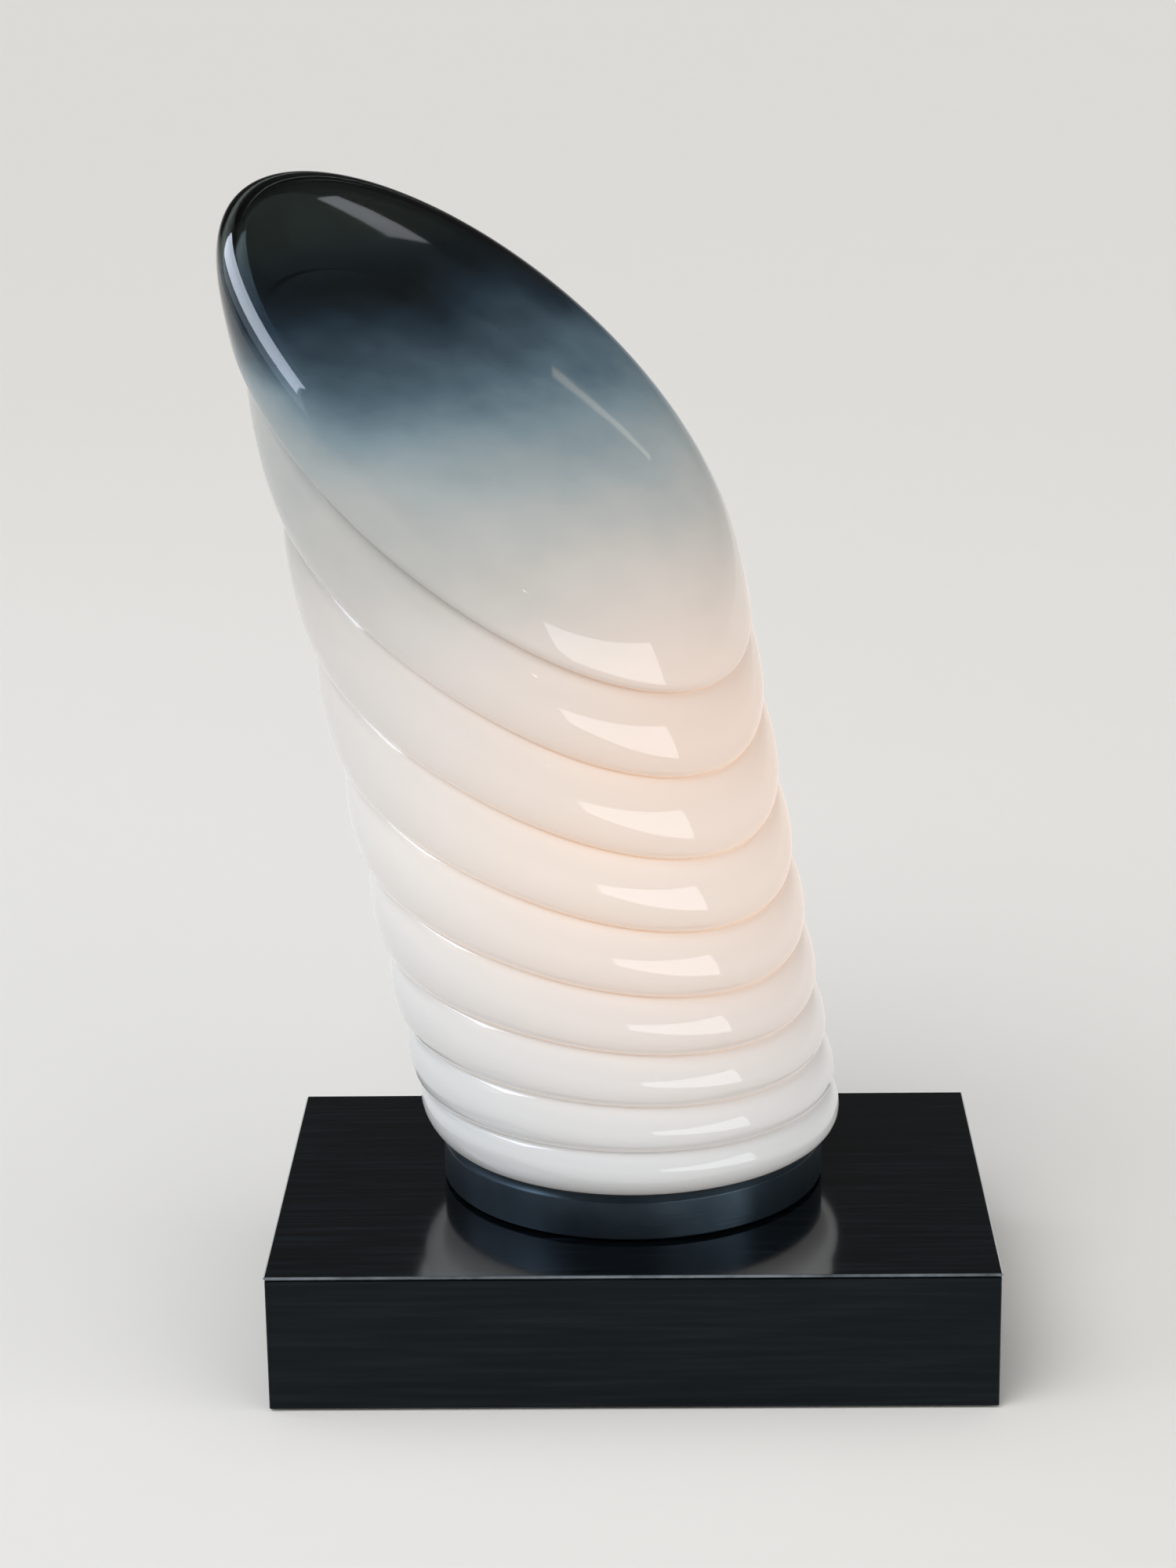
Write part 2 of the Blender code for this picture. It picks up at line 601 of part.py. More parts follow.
def build_bulb(steel, black_glass, white, opal, board):
    button_top = BULB_BOTTOM + BULB_BUTTON_HEIGHT
    turned("bulb_contact", [
        (0, BULB_BOTTOM), (BULB_BUTTON_R * 0.6, BULB_BOTTOM), (BULB_BUTTON_R, button_top), (0, button_top),
    ], steel, 16)
    insulator_bottom = button_top + GAP
    cap_bottom = insulator_bottom + BULB_INSULATOR_HEIGHT
    turned("bulb_insulator", [
        (0, insulator_bottom), (BULB_BUTTON_R, insulator_bottom), (BULB_CAP_R - BULB_CAP_WALL, cap_bottom - GAP),
        (0, cap_bottom - GAP),
    ], black_glass, 20)
    cap_in, cap_top = BULB_CAP_R - BULB_CAP_WALL, cap_bottom + BULB_CAP_HEIGHT
    cap_floor = cap_bottom + BULB_CAP_WALL
    turned("bulb_cap", [
        (0, cap_bottom), (cap_in, cap_bottom), (BULB_CAP_R, cap_floor), (BULB_CAP_R, cap_top),
        (cap_in, cap_top), (cap_in, cap_floor), (0, cap_floor),
    ], steel, 28)

    neck_bottom = cap_floor + GAP
    housing_top = cap_top + BULB_HOUSING_HEIGHT
    flare = cap_top + BULB_HOUSING_HEIGHT * 0.35
    neck_in = BULB_NECK_R - BULB_WALL
    board_r = BULB_R - BULB_WALL
    board_bottom = housing_top - BULB_BOARD_THICK
    turned("bulb_housing", [
        (neck_in, neck_bottom), (BULB_NECK_R, neck_bottom), (BULB_NECK_R, cap_top + GAP),
        (BULB_CAP_R, cap_top + GAP), (BULB_R * 0.62, flare), (BULB_R, housing_top), (board_r, housing_top),
        (board_r, board_bottom - GAP), (board_r - BULB_BOARD_INSET, board_bottom - GAP),
        (BULB_R * 0.62 - BULB_WALL, flare), (neck_in, cap_top),
    ], white, 32)
    disc_r = board_r - GAP
    turned("bulb_led_board", [
        (0, board_bottom), (disc_r, board_bottom), (disc_r, housing_top), (0, housing_top),
    ], board, 24)

    dome_bottom = housing_top + GAP
    steps = 7
    arc = [math.pi / 2 * step / steps for step in range(steps + 1)]
    outer = [(BULB_R * math.cos(turn), dome_bottom + BULB_DOME_RISE * math.sin(turn)) for turn in arc]
    inner_rise = BULB_DOME_RISE - BULB_WALL
    inner = [(board_r * math.cos(turn), dome_bottom + inner_rise * math.sin(turn)) for turn in arc]
    outer[-1] = (0, outer[-1][1])
    inner[-1] = (0, inner[-1][1])
    turned("bulb_dome", [*outer, *reversed(inner)], opal, 32)


def build_wiring(cover, plastic, brass, steel, lead_materials):
    floor = COVER_TOP + GAP
    block_top = floor + TERMINAL_HEIGHT
    half_length = TERMINAL_POLES * TERMINAL_PITCH / 2
    low = (-half_length, TERMINAL_FRONT, floor)
    high = (half_length, TERMINAL_FRONT + TERMINAL_DEPTH, block_top)
    block = box("terminal_block", low, high, plastic)
    fixing = (TERMINAL_PITCH / 2, TERMINAL_FRONT + TERMINAL_DEPTH * 0.7)
    countersink(block, fixing, block_top, TERMINAL_HEIGHT + GAP, -1)
    drill(cover, fixing, SCREW_R + GAP, COVER_BOTTOM - GAP, COVER_TOP + GAP, 14)
    screw("terminal_fixing_screw", fixing, block_top, block_top - COVER_BOTTOM, steel, -1)

    clamp_y = TERMINAL_FRONT + TERMINAL_DEPTH * 0.3
    clamp_bottom, clamp_r = block_top - TERMINAL_SCREW_DEPTH, TERMINAL_SCREW_R
    for index in range(TERMINAL_POLES):
        at = ((index - (TERMINAL_POLES - 1) / 2) * TERMINAL_PITCH, clamp_y)
        drill(block, at, clamp_r + GAP, clamp_bottom - GAP, block_top + GAP, 14)
        profile = [(0, clamp_bottom), (clamp_r, clamp_bottom), (clamp_r, block_top), (0, block_top)]
        clamp = turned(f"terminal_clamp_screw_{index + 1}", profile, brass, 14, at)
        cut_slot(clamp, at, block_top, clamp_r)

    front = TERMINAL_FRONT - GAP
    wire_z = floor + TERMINAL_HEIGHT / 2
    stem_bottom = TOP_UNDER - STEM_BELOW_TOP
    halfway_back, halfway_up = (front + COLLAR_BACK) / 2, (wire_z + stem_bottom) / 2
    for name, pole, across in (("lead_live", -1, -LEAD_SPREAD), ("lead_neutral", 0, LEAD_SPREAD)):
        tube(name, [
            (pole * TERMINAL_PITCH, front, wire_z),
            (pole * TERMINAL_PITCH, front - LEAD_STUB, wire_z),
            ((pole * TERMINAL_PITCH + across) / 2, halfway_back, wire_z + LEAD_R),
            (across, COLLAR_BACK, halfway_up),
            (across, COLLAR_BACK, stem_bottom),
            (across, COLLAR_BACK, HOLDER_BOTTOM),
            (across, COLLAR_BACK, INSULATOR_BOTTOM - GAP),
        ], LEAD_R, lead_materials[name])

    earth_at = (EARTH_RIGHT, front - LEAD_STUB)
    drill(cover, earth_at, SCREW_R + GAP, COVER_BOTTOM - GAP, COVER_TOP + GAP, 14)
    turned("earth_screw", [
        (0, COVER_BOTTOM), (SCREW_R, COVER_BOTTOM), (SCREW_R, floor), (EARTH_HEAD_R, floor),
        (EARTH_HEAD_R, floor + EARTH_HEAD_H), (0, floor + EARTH_HEAD_H),
    ], brass, 16, earth_at)
    earth_z = floor + EARTH_HEAD_H / 2
    lug_right = EARTH_RIGHT - EARTH_HEAD_R - GAP
    tube("lead_earth", [
        (TERMINAL_PITCH, front, wire_z),
        (TERMINAL_PITCH, front - LEAD_STUB, wire_z),
        ((TERMINAL_PITCH + lug_right) / 2, front - 2 * LEAD_STUB, (wire_z + earth_z) / 2),
        (lug_right - LEAD_STUB, front - LEAD_STUB, earth_z),
        (lug_right, front - LEAD_STUB, earth_z),
    ], LEAD_R, lead_materials["lead_earth"])


def build_bushing(back, plastic):
    """The inlet in the rear wall, with its flange outside."""
    outside = BASE_DEPTH / 2 - TOP_OVERHANG + GAP
    inside = INNER_HALF_DEPTH - BUSHING_INSIDE
    profile = [
        (BUSHING_BORE_R, inside), (BUSHING_R, inside), (BUSHING_R, outside), (BUSHING_FLANGE_R, outside),
        (BUSHING_FLANGE_R, outside + BUSHING_FLANGE), (BUSHING_BORE_R, outside + BUSHING_FLANGE),
    ]
    to_back = Matrix.Rotation(-math.pi / 2, 4, "X")
    place = (0, 0, BUSHING_HEIGHT)
    bushing = turned("cord_bushing", profile, plastic, 24, (0, 0))
    bushing.data.transform(to_back)
    bushing.location = place
    hole_r = BUSHING_R + GAP
    hole_profile = [(0, inside), (hole_r, inside), (hole_r, outside), (0, outside)]
    hole = turned("cut_back_hole", hole_profile, None, 24, (0, 0))
    hole.data.transform(to_back)
    hole.location = place
    cut(back, hole)


def build():
    remove_everything()
    black = make_material("black_lacquer", (0.012, 0.012, 0.015), 0.3)
    dark = make_material("dark_bronze", (0.03, 0.032, 0.04), 0.35, 0.9)
    steel = make_material("zinc_steel", (0.6, 0.6, 0.58), 0.35, 1.0)
    brass = make_material("brass", (0.75, 0.55, 0.25), 0.3, 1.0)
    felt = make_material("felt", (0.02, 0.02, 0.02), 0.95)
    rubber = make_material("brown_rubber", (0.05, 0.03, 0.02), 0.7)
    glass = make_material("ribbed_glass", (0.85, 0.87, 0.86), 0.08, 0.0, 0.4)
    plastic = make_material("black_plastic", (0.02, 0.02, 0.02), 0.45)
    white = make_material("white_plastic", (0.8, 0.8, 0.78), 0.4)
    ceramic = make_material("ceramic", (0.8, 0.78, 0.72), 0.4)
    opal = make_material("opal_cover", (0.9, 0.86, 0.78), 0.4)
    board = make_material("board", (0.75, 0.75, 0.7), 0.5)
    leads = {
        "lead_live": make_material("brown_wire", (0.15, 0.05, 0.02), 0.5),
        "lead_neutral": make_material("blue_wire", (0.02, 0.08, 0.35), 0.5),
        "lead_earth": make_material("green_wire", (0.05, 0.25, 0.04), 0.5),
    }
    cover, back = build_base(black, felt, steel)
    build_collar(dark, steel, rubber)
    build_shade(glass)
    build_stem(brass, steel)
    build_holder(plastic, ceramic, brass)
    build_bulb(steel, plastic, white, opal, board)
    build_wiring(cover, white, brass, steel, leads)
    build_bushing(back, plastic)


build()
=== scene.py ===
import json
import math

import bmesh
import bpy
from mathutils import Matrix, Quaternion, Vector


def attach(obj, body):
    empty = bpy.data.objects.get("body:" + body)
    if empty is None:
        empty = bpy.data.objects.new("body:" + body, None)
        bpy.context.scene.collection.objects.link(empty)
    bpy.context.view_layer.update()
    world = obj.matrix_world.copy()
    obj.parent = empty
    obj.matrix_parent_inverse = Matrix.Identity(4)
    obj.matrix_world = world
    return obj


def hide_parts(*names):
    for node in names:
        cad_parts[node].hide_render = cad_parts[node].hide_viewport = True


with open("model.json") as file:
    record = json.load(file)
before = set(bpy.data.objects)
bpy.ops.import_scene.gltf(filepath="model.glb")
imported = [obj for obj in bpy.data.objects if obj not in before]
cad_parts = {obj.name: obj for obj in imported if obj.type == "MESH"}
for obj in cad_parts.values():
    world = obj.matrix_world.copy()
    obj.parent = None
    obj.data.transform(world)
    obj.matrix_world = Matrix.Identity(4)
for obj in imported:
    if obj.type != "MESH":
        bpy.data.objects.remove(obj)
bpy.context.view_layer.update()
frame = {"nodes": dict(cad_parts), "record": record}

# Sizes in metres, as the solids have them. Heights are over the table.
GAP = 0.0003
BASE_LENGTH, BASE_DEPTH, BASE_HEIGHT = 0.300, 0.200, 0.060
# Width of the painted highlight along the top sheet's edge.
EDGE_HIGHLIGHT_WIDTH = 0.0007
COLLAR_BACK = 0.014
SHADOW_GAP = 0.0015
DISC_R, DISC_TOP = 0.0740, 0.0643
SOCKET_R, RING_R, RING_TOP, RING_CHAMFER = 0.0772, 0.0817, 0.080, 0.0021
LEDGE_R, LEDGE_TOP = 0.060, 0.0700
GASKET_BOTTOM, GASKET_THICK, GASKET_SEAT, GASKET_LIP_DROP = 0.0703, 0.002, 0.0072, 0.0006

# The glass stands in the collar on a round foot and leans back to the left.
FOOT_R, FOOT_WALL, FOOT_LINE, FOOT_BOTTOM = 0.0752, 0.0052, 0.080, 0.0726
GLASS_WALL = 0.004
AXIS_RIGHT, AXIS_BACK = 0.0017, 0.0146
LEAN_SLOPE, LEAN_TOWARD = 0.2146, math.radians(157.7)
BODY_HEIGHT, BODY_R_LOW, BODY_TAPER = 0.2823, 0.0846, 0.0059
# Its ribs tilt more and more from the foot to the dome, and each is taller than the one below it.
RIBS = 8
TILT_TOWARD, TILT_TURN_AT_FOOT = math.radians(139.4), math.radians(-11.7)
WARP_TOWARD, WARP_AT_FOOT = math.radians(47.2), 0.211
FOOT_RIB_FRONT, FOOT_RIB_BACK = 0.0207, 0.0258
FOOT_RIB_WIDEST, FOOT_RIB_BULGE = 0.605, 0.0047
RIB_GROWTH_FRONT, RIB_GROWTH_BACK = 0.00275, 0.00646
RIB_BULGE, RIB_FULLNESS, RIB_SKEW = 0.0056, 0.66, 0.77
INNER_RIB_SHARE = 0.6
DOME_TILT_HEIGHT, DOME_RISE, DOME_LIP, DOME_LIP_RISE = 0.0739, 0.062, 0.0060, 0.0083
DOME_SQUARENESS = 3.63
GLASS_SIDES, FOOT_RIB_STEPS, RIB_STEPS, LIP_STEPS, DOME_STEPS = 192, 16, 14, 4, 26
LIP_RING = FOOT_RIB_STEPS + RIB_STEPS * (RIBS - 1)
# The gather of white glass ends lower on the dome than on the ribs, where it first thins and then soon
# ends.
WHITE_TOP, RIB_WHITE_TOP = 0.345, 0.405
RIB_THINNING, RIB_CLEARING = 0.25, 3.0
# On the rim's near side it goes over from the one to the other across these rings; on the far side, at once.
RIM_RINGS, FAR_RIM_TOWARD = 16, math.radians(55)
# Heights on the gather between which the glass goes through its colours, loses its glow and turns clear.
COLOURS_FROM, COLOURS_TO = 0.08, 0.48
MILKY_TO, MILK_ENDS = 0.31, 0.40
CLEARS_FROM, CLEAR_FROM = 0.392, 0.447
# Centre of the painted glow on the white glass.
GLOW_HEART = (0.025, -0.03, 0.220)


def linear(code):
    """The linear colour of an sRGB hex code."""
    parts = [int(code[place:place + 2], 16) / 255 for place in (1, 3, 5)]
    return [part / 12.92 if part <= 0.04045 else ((part + 0.055) / 1.055) ** 2.4 for part in parts] + [1.0]


def add_node(tree, kind, inputs=None, stops=(), **settings):
    """Add one node with its settings and links. A node given as an input is joined by its first output."""
    node = tree.nodes.new(kind)
    for name, value in settings.items():
        setattr(node, name, value)
    for name, value in (inputs or {}).items():
        if isinstance(value, bpy.types.Node):
            value = value.outputs[0]
        if isinstance(value, bpy.types.NodeSocket):
            tree.links.new(value, node.inputs[name])
        else:
            node.inputs[name].default_value = value
    for number, (place, code) in enumerate(stops):
        band = node.color_ramp.elements
        element = band[number] if number < len(band) else band.new(place)
        element.position, element.color = place, linear(code)
    return node


def new_material(name, colour, roughness, metallic=0.0):
    """A new material, with its node tree and the shader that it starts from."""
    material = bpy.data.materials.new(name)
    material.use_nodes = True
    shader = material.node_tree.nodes["Principled BSDF"]
    shader.inputs["Base Color"].default_value = linear(colour)
    shader.inputs["Roughness"].default_value = roughness
    shader.inputs["Metallic"].default_value = metallic
    return material, material.node_tree, shader


# Shapes


def skin(name, rings, sharp_degrees=40):
    """Close a loop of rings of points into one shell. A ring of one point is a pole."""
    shape = bmesh.new()
    rows = [[shape.verts.new(point) for point in ring] for ring in rings]
    for lower, upper in zip(rows, rows[1:] + rows[:1]):
        sides = max(len(lower), len(upper))
        if sides == 1:
            continue
        for side in range(sides):
            after = (side + 1) % sides
            corners = [lower[side % len(lower)], lower[after % len(lower)]]
            corners += [upper[after % len(upper)], upper[side % len(upper)]]
            shape.faces.new(list(dict.fromkeys(corners)))
    bmesh.ops.recalc_face_normals(shape, faces=shape.faces)
    mesh = bpy.data.meshes.new(name)
    shape.to_mesh(mesh)
    shape.free()
    mesh.shade_smooth()
    mesh.set_sharp_from_angle(angle=math.radians(sharp_degrees))
    thing = bpy.data.objects.new(name, mesh)
    bpy.context.scene.collection.objects.link(thing)
    return thing


def circle(radius, height, sides, at=(0, COLLAR_BACK)):
    """A level ring of points round the vertical line through at."""
    turns = [math.tau * side / sides for side in range(sides)]
    return [(at[0] + radius * math.cos(turn), at[1] + radius * math.sin(turn), height) for turn in turns]


# The most of an edge that the rounding of one of its corners takes away.
LARGEST_CUT = 0.4


def softened(profile, radius, steps=4):
    """Round the corners of a closed profile, apart from those on the turning line."""
    soft = []
    for index, corner in enumerate(profile):
        before, after = profile[index - 1], profile[(index + 1) % len(profile)]
        if corner[0] == 0:
            soft.append(corner)
            continue
        here = Vector(corner)
        to_before, to_after = Vector(before) - here, Vector(after) - here
        reach = min(radius, to_before.length * LARGEST_CUT, to_after.length * LARGEST_CUT)
        start, stop = here + to_before.normalized() * reach, here + to_after.normalized() * reach
        for step in range(steps + 1):
            t = step / steps
            soft.append(tuple(start * (1 - t) ** 2 + here * 2 * t * (1 - t) + stop * t ** 2))
    return soft


def turned(name, profile, soften=0.0004, sides=96, at=(0, COLLAR_BACK)):
    """Turn a closed profile of (radius, height) about the vertical line through at."""
    rings = []
    for radius, height in softened(profile, soften) if soften else profile:
        rings.append(circle(radius, height, sides, at) if radius else [(*at, height)])
    return skin(name, rings, 50)


def fit(piece, material, body, slot, *nodes):
    """Give a piece its finish, the body it moves with and the solids it stands for."""
    piece.data.materials.clear()
    piece.data.materials.append(material)
    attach(piece, body)
    if nodes:
        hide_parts(*nodes)


# The blown glass shade


def side_line(index, foot_rib, growth, span):
    """A groove's height over the foot, on a side where each rib is taller than the last by the growth."""
    def grown(ribs):
        return growth * ribs * (ribs - 1) / 2

    shortest = (span - foot_rib - grown(RIBS - 1)) / (RIBS - 1)
    return foot_rib + shortest * (index - 1) + grown(index - 1)


def rib_line(index, turn):
    """Height of one of the grooves between ribs, on one side of the shade. Groove 0 is at the foot."""
    if index == 0:
        return FOOT_LINE
    short_side, tall_side = BODY_HEIGHT - DOME_TILT_HEIGHT, BODY_HEIGHT + DOME_TILT_HEIGHT
    front = FOOT_LINE + side_line(index, FOOT_RIB_FRONT, RIB_GROWTH_FRONT, short_side)
    back = FOOT_LINE + side_line(index, FOOT_RIB_BACK, RIB_GROWTH_BACK, tall_side)
    below_dome = 1 - index / RIBS
    tilt = math.cos(turn - TILT_TOWARD - TILT_TURN_AT_FOOT * below_dome)
    warp = WARP_AT_FOOT * below_dome * math.cos(2 * (turn - WARP_TOWARD))
    return (front + back) / 2 + (back - front) / 2 * (tilt + warp)


def axis_point(height):
    """The middle of the leaning shade at a height."""
    lean = LEAN_SLOPE * (height - FOOT_LINE)
    return AXIS_RIGHT + lean * math.cos(LEAN_TOWARD), AXIS_BACK + lean * math.sin(LEAN_TOWARD)


def body_radius(height):
    """The shade's radius at a height, without its ribs."""
    return BODY_R_LOW + BODY_TAPER * (height - FOOT_LINE) / BODY_HEIGHT


def ring_of(point_at):
    """A ring of points: point_at gives the middle, radius and height on one side of the shade."""
    ring = []
    for side in range(GLASS_SIDES):
        turn = math.tau * side / GLASS_SIDES
        middle, radius, height = point_at(turn)
        ring.append((middle[0] + radius * math.cos(turn), middle[1] + radius * math.sin(turn), height))
    return ring


def rib_ring(index, share, inset, bulge_share):
    """One ring of points up a rib, from the groove below it (share 0) to the one above (share 1)."""
    climb = share ** RIB_SKEW
    bulge = RIB_BULGE * bulge_share * (4 * climb * (1 - climb)) ** RIB_FULLNESS

    def point_at(turn):
        low, high = rib_line(index, turn), rib_line(index + 1, turn)
        height = low + (high - low) * share
        return axis_point(height), body_radius(height) + bulge - inset, height

    return ring_of(point_at)


def foot_rib_ring(share, inset):
    """One ring of the lowest rib: a quarter round out from the foot, then a quarter in to its groove."""
    curl = math.pi * min(share, 0.5)
    reach, hang = math.sin(curl), math.cos(curl)
    past = math.pi * max(share - 0.5, 0)
    climb = FOOT_RIB_WIDEST * (1 - hang) + (1 - FOOT_RIB_WIDEST) * math.sin(past)
    draw_in = FOOT_RIB_BULGE * (1 - math.cos(past))

    def point_at(turn):
        groove = rib_line(1, turn)
        widest = body_radius(groove) + FOOT_RIB_BULGE
        height = FOOT_LINE + (groove - FOOT_LINE) * climb + inset * hang
        radius = FOOT_R + (widest - FOOT_R) * reach - draw_in - inset * reach
        middle = axis_point(height)
        return (middle[0] * reach, COLLAR_BACK + (middle[1] - COLLAR_BACK) * reach), radius, height

    return ring_of(point_at)


def dome_ring(rise, share, inset):
    """One ring of the domed top: its rise above the last groove, and its radius against the groove's."""
    level = (rib_line(RIBS, TILT_TOWARD) + rib_line(RIBS, TILT_TOWARD + math.pi)) / 2

    def point_at(turn):
        groove = rib_line(RIBS, turn)
        height = level + rise + (groove - level) * share
        return axis_point(height), (body_radius(groove) - inset) * share, height

    return ring_of(point_at)


def dome_profile(inset):
    """Rise and share of the dome's rings: a round lip, then a squarish curve in to the pole."""
    lip = DOME_LIP / (BODY_R_LOW + BODY_TAPER)
    rise = DOME_RISE - inset
    profile = []
    for step in range(LIP_STEPS):
        under = math.pi / 2 * (step + 1) / (LIP_STEPS + 1)
        profile.append((DOME_LIP_RISE * (1 - math.cos(under)), 1 + lip * math.sin(under)))
    for step in range(DOME_STEPS):
        turn = math.pi / 2 * (step / DOME_STEPS)
        share = (1 + lip) * math.cos(turn) ** (2 / DOME_SQUARENESS)
        climb = (rise - DOME_LIP_RISE) * math.sin(turn) ** (2 / DOME_SQUARENESS)
        profile.append((DOME_LIP_RISE + climb, share))
    return profile, rise


def shade_surface(inset, bulge_share):
    """Rings from the foot's line up to the pole, for the outer face or, with an inset, the inner one."""
    rings = [foot_rib_ring(step / FOOT_RIB_STEPS, inset) for step in range(FOOT_RIB_STEPS)]
    for index in range(1, RIBS):
        for step in range(RIB_STEPS):
            share = (1 - math.cos(math.pi * step / RIB_STEPS)) / 2
            rings.append(rib_ring(index, share, inset, bulge_share))
    rings.append(rib_ring(RIBS - 1, 1, inset, bulge_share))
    profile, rise = dome_profile(inset)
    rings += [dome_ring(climb, share, inset) for climb, share in profile]
    return [*rings, [dome_ring(rise, 0, inset)[0]]]


def gather_on_ribs(height):
    """How far up the gather a point of the ribs is: the white reaches higher there than on the dome."""
    thinning = min(max(height - WHITE_TOP, 0), RIB_WHITE_TOP - WHITE_TOP)
    clearing = max(height - RIB_WHITE_TOP, 0)
    return min(height, WHITE_TOP) + RIB_THINNING * thinning + RIB_CLEARING * clearing


def gather_at(ring_index, side, height):
    """The gather's height: as the ribs have it up to the dome's lip, then over to the point's own."""
    past_lip = (ring_index - LIP_RING) / RIM_RINGS
    if past_lip <= 0:
        return gather_on_ribs(height)
    turn = math.tau * side / GLASS_SIDES
    near_side = 0.5 - 0.5 * math.cos(turn - FAR_RIM_TOWARD)
    on_ribs = max(0.0, 1 - past_lip) ** 2 * near_side
    return height + (gather_on_ribs(height) - height) * on_ribs


def fold_at(ring_index):
    """1 in the fold between two ribs, where the glass is thinnest, down to 0 on the ribs' crests."""
    past_foot = ring_index - FOOT_RIB_STEPS
    if past_foot < 0 or ring_index > LIP_RING:
        return 0.0
    share = (past_foot % RIB_STEPS) / RIB_STEPS
    return abs(math.cos(math.pi * share)) ** 3


def blown_shade():
    """The shade, with how far up the gather and how near a fold each of its points is."""
    outer = shade_surface(0, 1)
    inner = shade_surface(GLASS_WALL, INNER_RIB_SHARE)
    bore_r = FOOT_R - FOOT_WALL
    inner[0] = circle(bore_r, FOOT_LINE, GLASS_SIDES)
    foot = [circle(bore_r, FOOT_BOTTOM, GLASS_SIDES), circle(FOOT_R, FOOT_BOTTOM, GLASS_SIDES)]
    shade = skin("ribbed_shade", [*foot, *outer, *reversed(inner)], 75)
    gather, fold = [FOOT_BOTTOM] * (2 * GLASS_SIDES), [0.0] * (2 * GLASS_SIDES)
    for rings in (list(enumerate(outer)), list(reversed(list(enumerate(inner))))):
        for ring_index, ring in rings:
            gather += [gather_at(ring_index, side, point[2]) for side, point in enumerate(ring)]
            fold += [fold_at(ring_index)] * len(ring)
    for name, values in (("gather", gather), ("fold", fold)):
        shade.data.attributes.new(name, "FLOAT", "POINT").data.foreach_set("value", values)
    return shade


# Finishes


def opal_to_clear_glass():
    """Glass blown from two gathers, opal white over clear, and shaped rib by rib while it turned.

    The white is thick at the foot and is drawn out thin towards the tip, so it goes over through slate blue
    to clear glass. The darkening on the way is painted shade: the thin white and the clear tip, which is
    tinted as if smoky, are coloured dark for the dark seen through them. The faces were never ground, so
    they are fire polished: glossy, with slow waves that bend the reflections a little."""
    material, tree, shader = new_material("opal_to_clear_blown_glass", "#D8D6D2", 0.04)
    place = add_node(tree, "ShaderNodeTexCoord").outputs["Object"]
    gather = add_node(tree, "ShaderNodeAttribute", attribute_name="gather").outputs["Fac"]
    fold = add_node(tree, "ShaderNodeAttribute", attribute_name="fold").outputs["Fac"]

    # Wisps about 50 mm long, where the white was drawn out unevenly, move the colours by up to 7 mm.
    drawn_out = add_node(tree, "ShaderNodeMapping", {"Vector": place, "Scale": (1, 1, 1.6)})
    wisps = add_node(tree, "ShaderNodeTexNoise", {"Vector": drawn_out, "Scale": 18, "Detail": 5})
    moved = add_node(tree, "ShaderNodeMapRange", {
        "Value": wisps, "From Min": 0.3, "From Max": 0.7, "To Min": -0.007, "To Max": 0.007,
    })
    level = add_node(tree, "ShaderNodeMath", {0: gather, 1: moved}, operation="ADD")
    up_shade = add_node(tree, "ShaderNodeMapRange", {
        "Value": level, "From Min": COLOURS_FROM, "From Max": COLOURS_TO,
    })
    # The dark slate and smoky stops towards the top are painted shade, for the dark seen through the thin
    # white and the clear tip.
    colour = add_node(tree, "ShaderNodeValToRGB", {"Fac": up_shade}, stops=[
        (0.00, "#B8BCBF"), (0.14, "#BBBFC1"), (0.35, "#C6C6C4"), (0.55, "#BFBAB6"), (0.66, "#ABAAA6"),
        (0.725, "#979FA0"), (0.775, "#7B8B92"), (0.82, "#596D79"), (0.875, "#3C4E5C"), (0.95, "#626B69"),
    ])
    tree.links.new(colour.outputs["Color"], shader.inputs["Base Color"])
    clear = add_node(tree, "ShaderNodeMapRange", {
        "Value": level, "From Min": CLEARS_FROM, "From Max": CLEAR_FROM,
    }, interpolation_type="SMOOTHSTEP")
    tree.links.new(clear.outputs["Result"], shader.inputs["Transmission Weight"])

    # Painted glow: the white glass gives off a warm light of its own. It is strongest in front of the bulb
    # and a little stronger in the thin folds between the ribs, standing in for the lit bulb shining through
    # it.
    heart = add_node(tree, "ShaderNodeVectorMath", {0: place, 1: GLOW_HEART}, operation="DISTANCE")
    heart = heart.outputs["Value"]
    warm = add_node(tree, "ShaderNodeMapRange", {
        "Value": heart, "From Min": 0.04, "From Max": 0.17,
    }, interpolation_type="SMOOTHSTEP")
    warm = add_node(tree, "ShaderNodeValToRGB", {"Fac": warm}, stops=[(0.0, "#FFC191"), (1.0, "#F6F1EC")])
    milk = add_node(tree, "ShaderNodeMapRange", {
        "Value": level, "From Min": MILKY_TO, "From Max": MILK_ENDS, "To Min": 1.0, "To Max": 0.0,
    }, interpolation_type="SMOOTHSTEP")
    glow = add_node(tree, "ShaderNodeMapRange", {
        "Value": heart, "From Min": 0.05, "From Max": 0.20, "To Min": 0.27, "To Max": 0.11,
    }, interpolation_type="SMOOTHSTEP")
    glow = add_node(tree, "ShaderNodeMath", {0: fold, 1: 0.04, 2: glow}, operation="MULTIPLY_ADD")
    glow = add_node(tree, "ShaderNodeMath", {0: glow, 1: milk}, operation="MULTIPLY")
    tree.links.new(warm.outputs["Color"], shader.inputs["Emission Color"])
    tree.links.new(glow.outputs["Value"], shader.inputs["Emission Strength"])

    # Slow waves about 30 mm long, left by the blowing.
    waves = add_node(tree, "ShaderNodeTexNoise", {"Vector": place, "Scale": 30, "Detail": 1})
    waves = add_node(tree, "ShaderNodeBump", {"Height": waves, "Distance": 0.0006, "Strength": 0.2})
    tree.links.new(waves.outputs["Normal"], shader.inputs["Normal"])
    return material


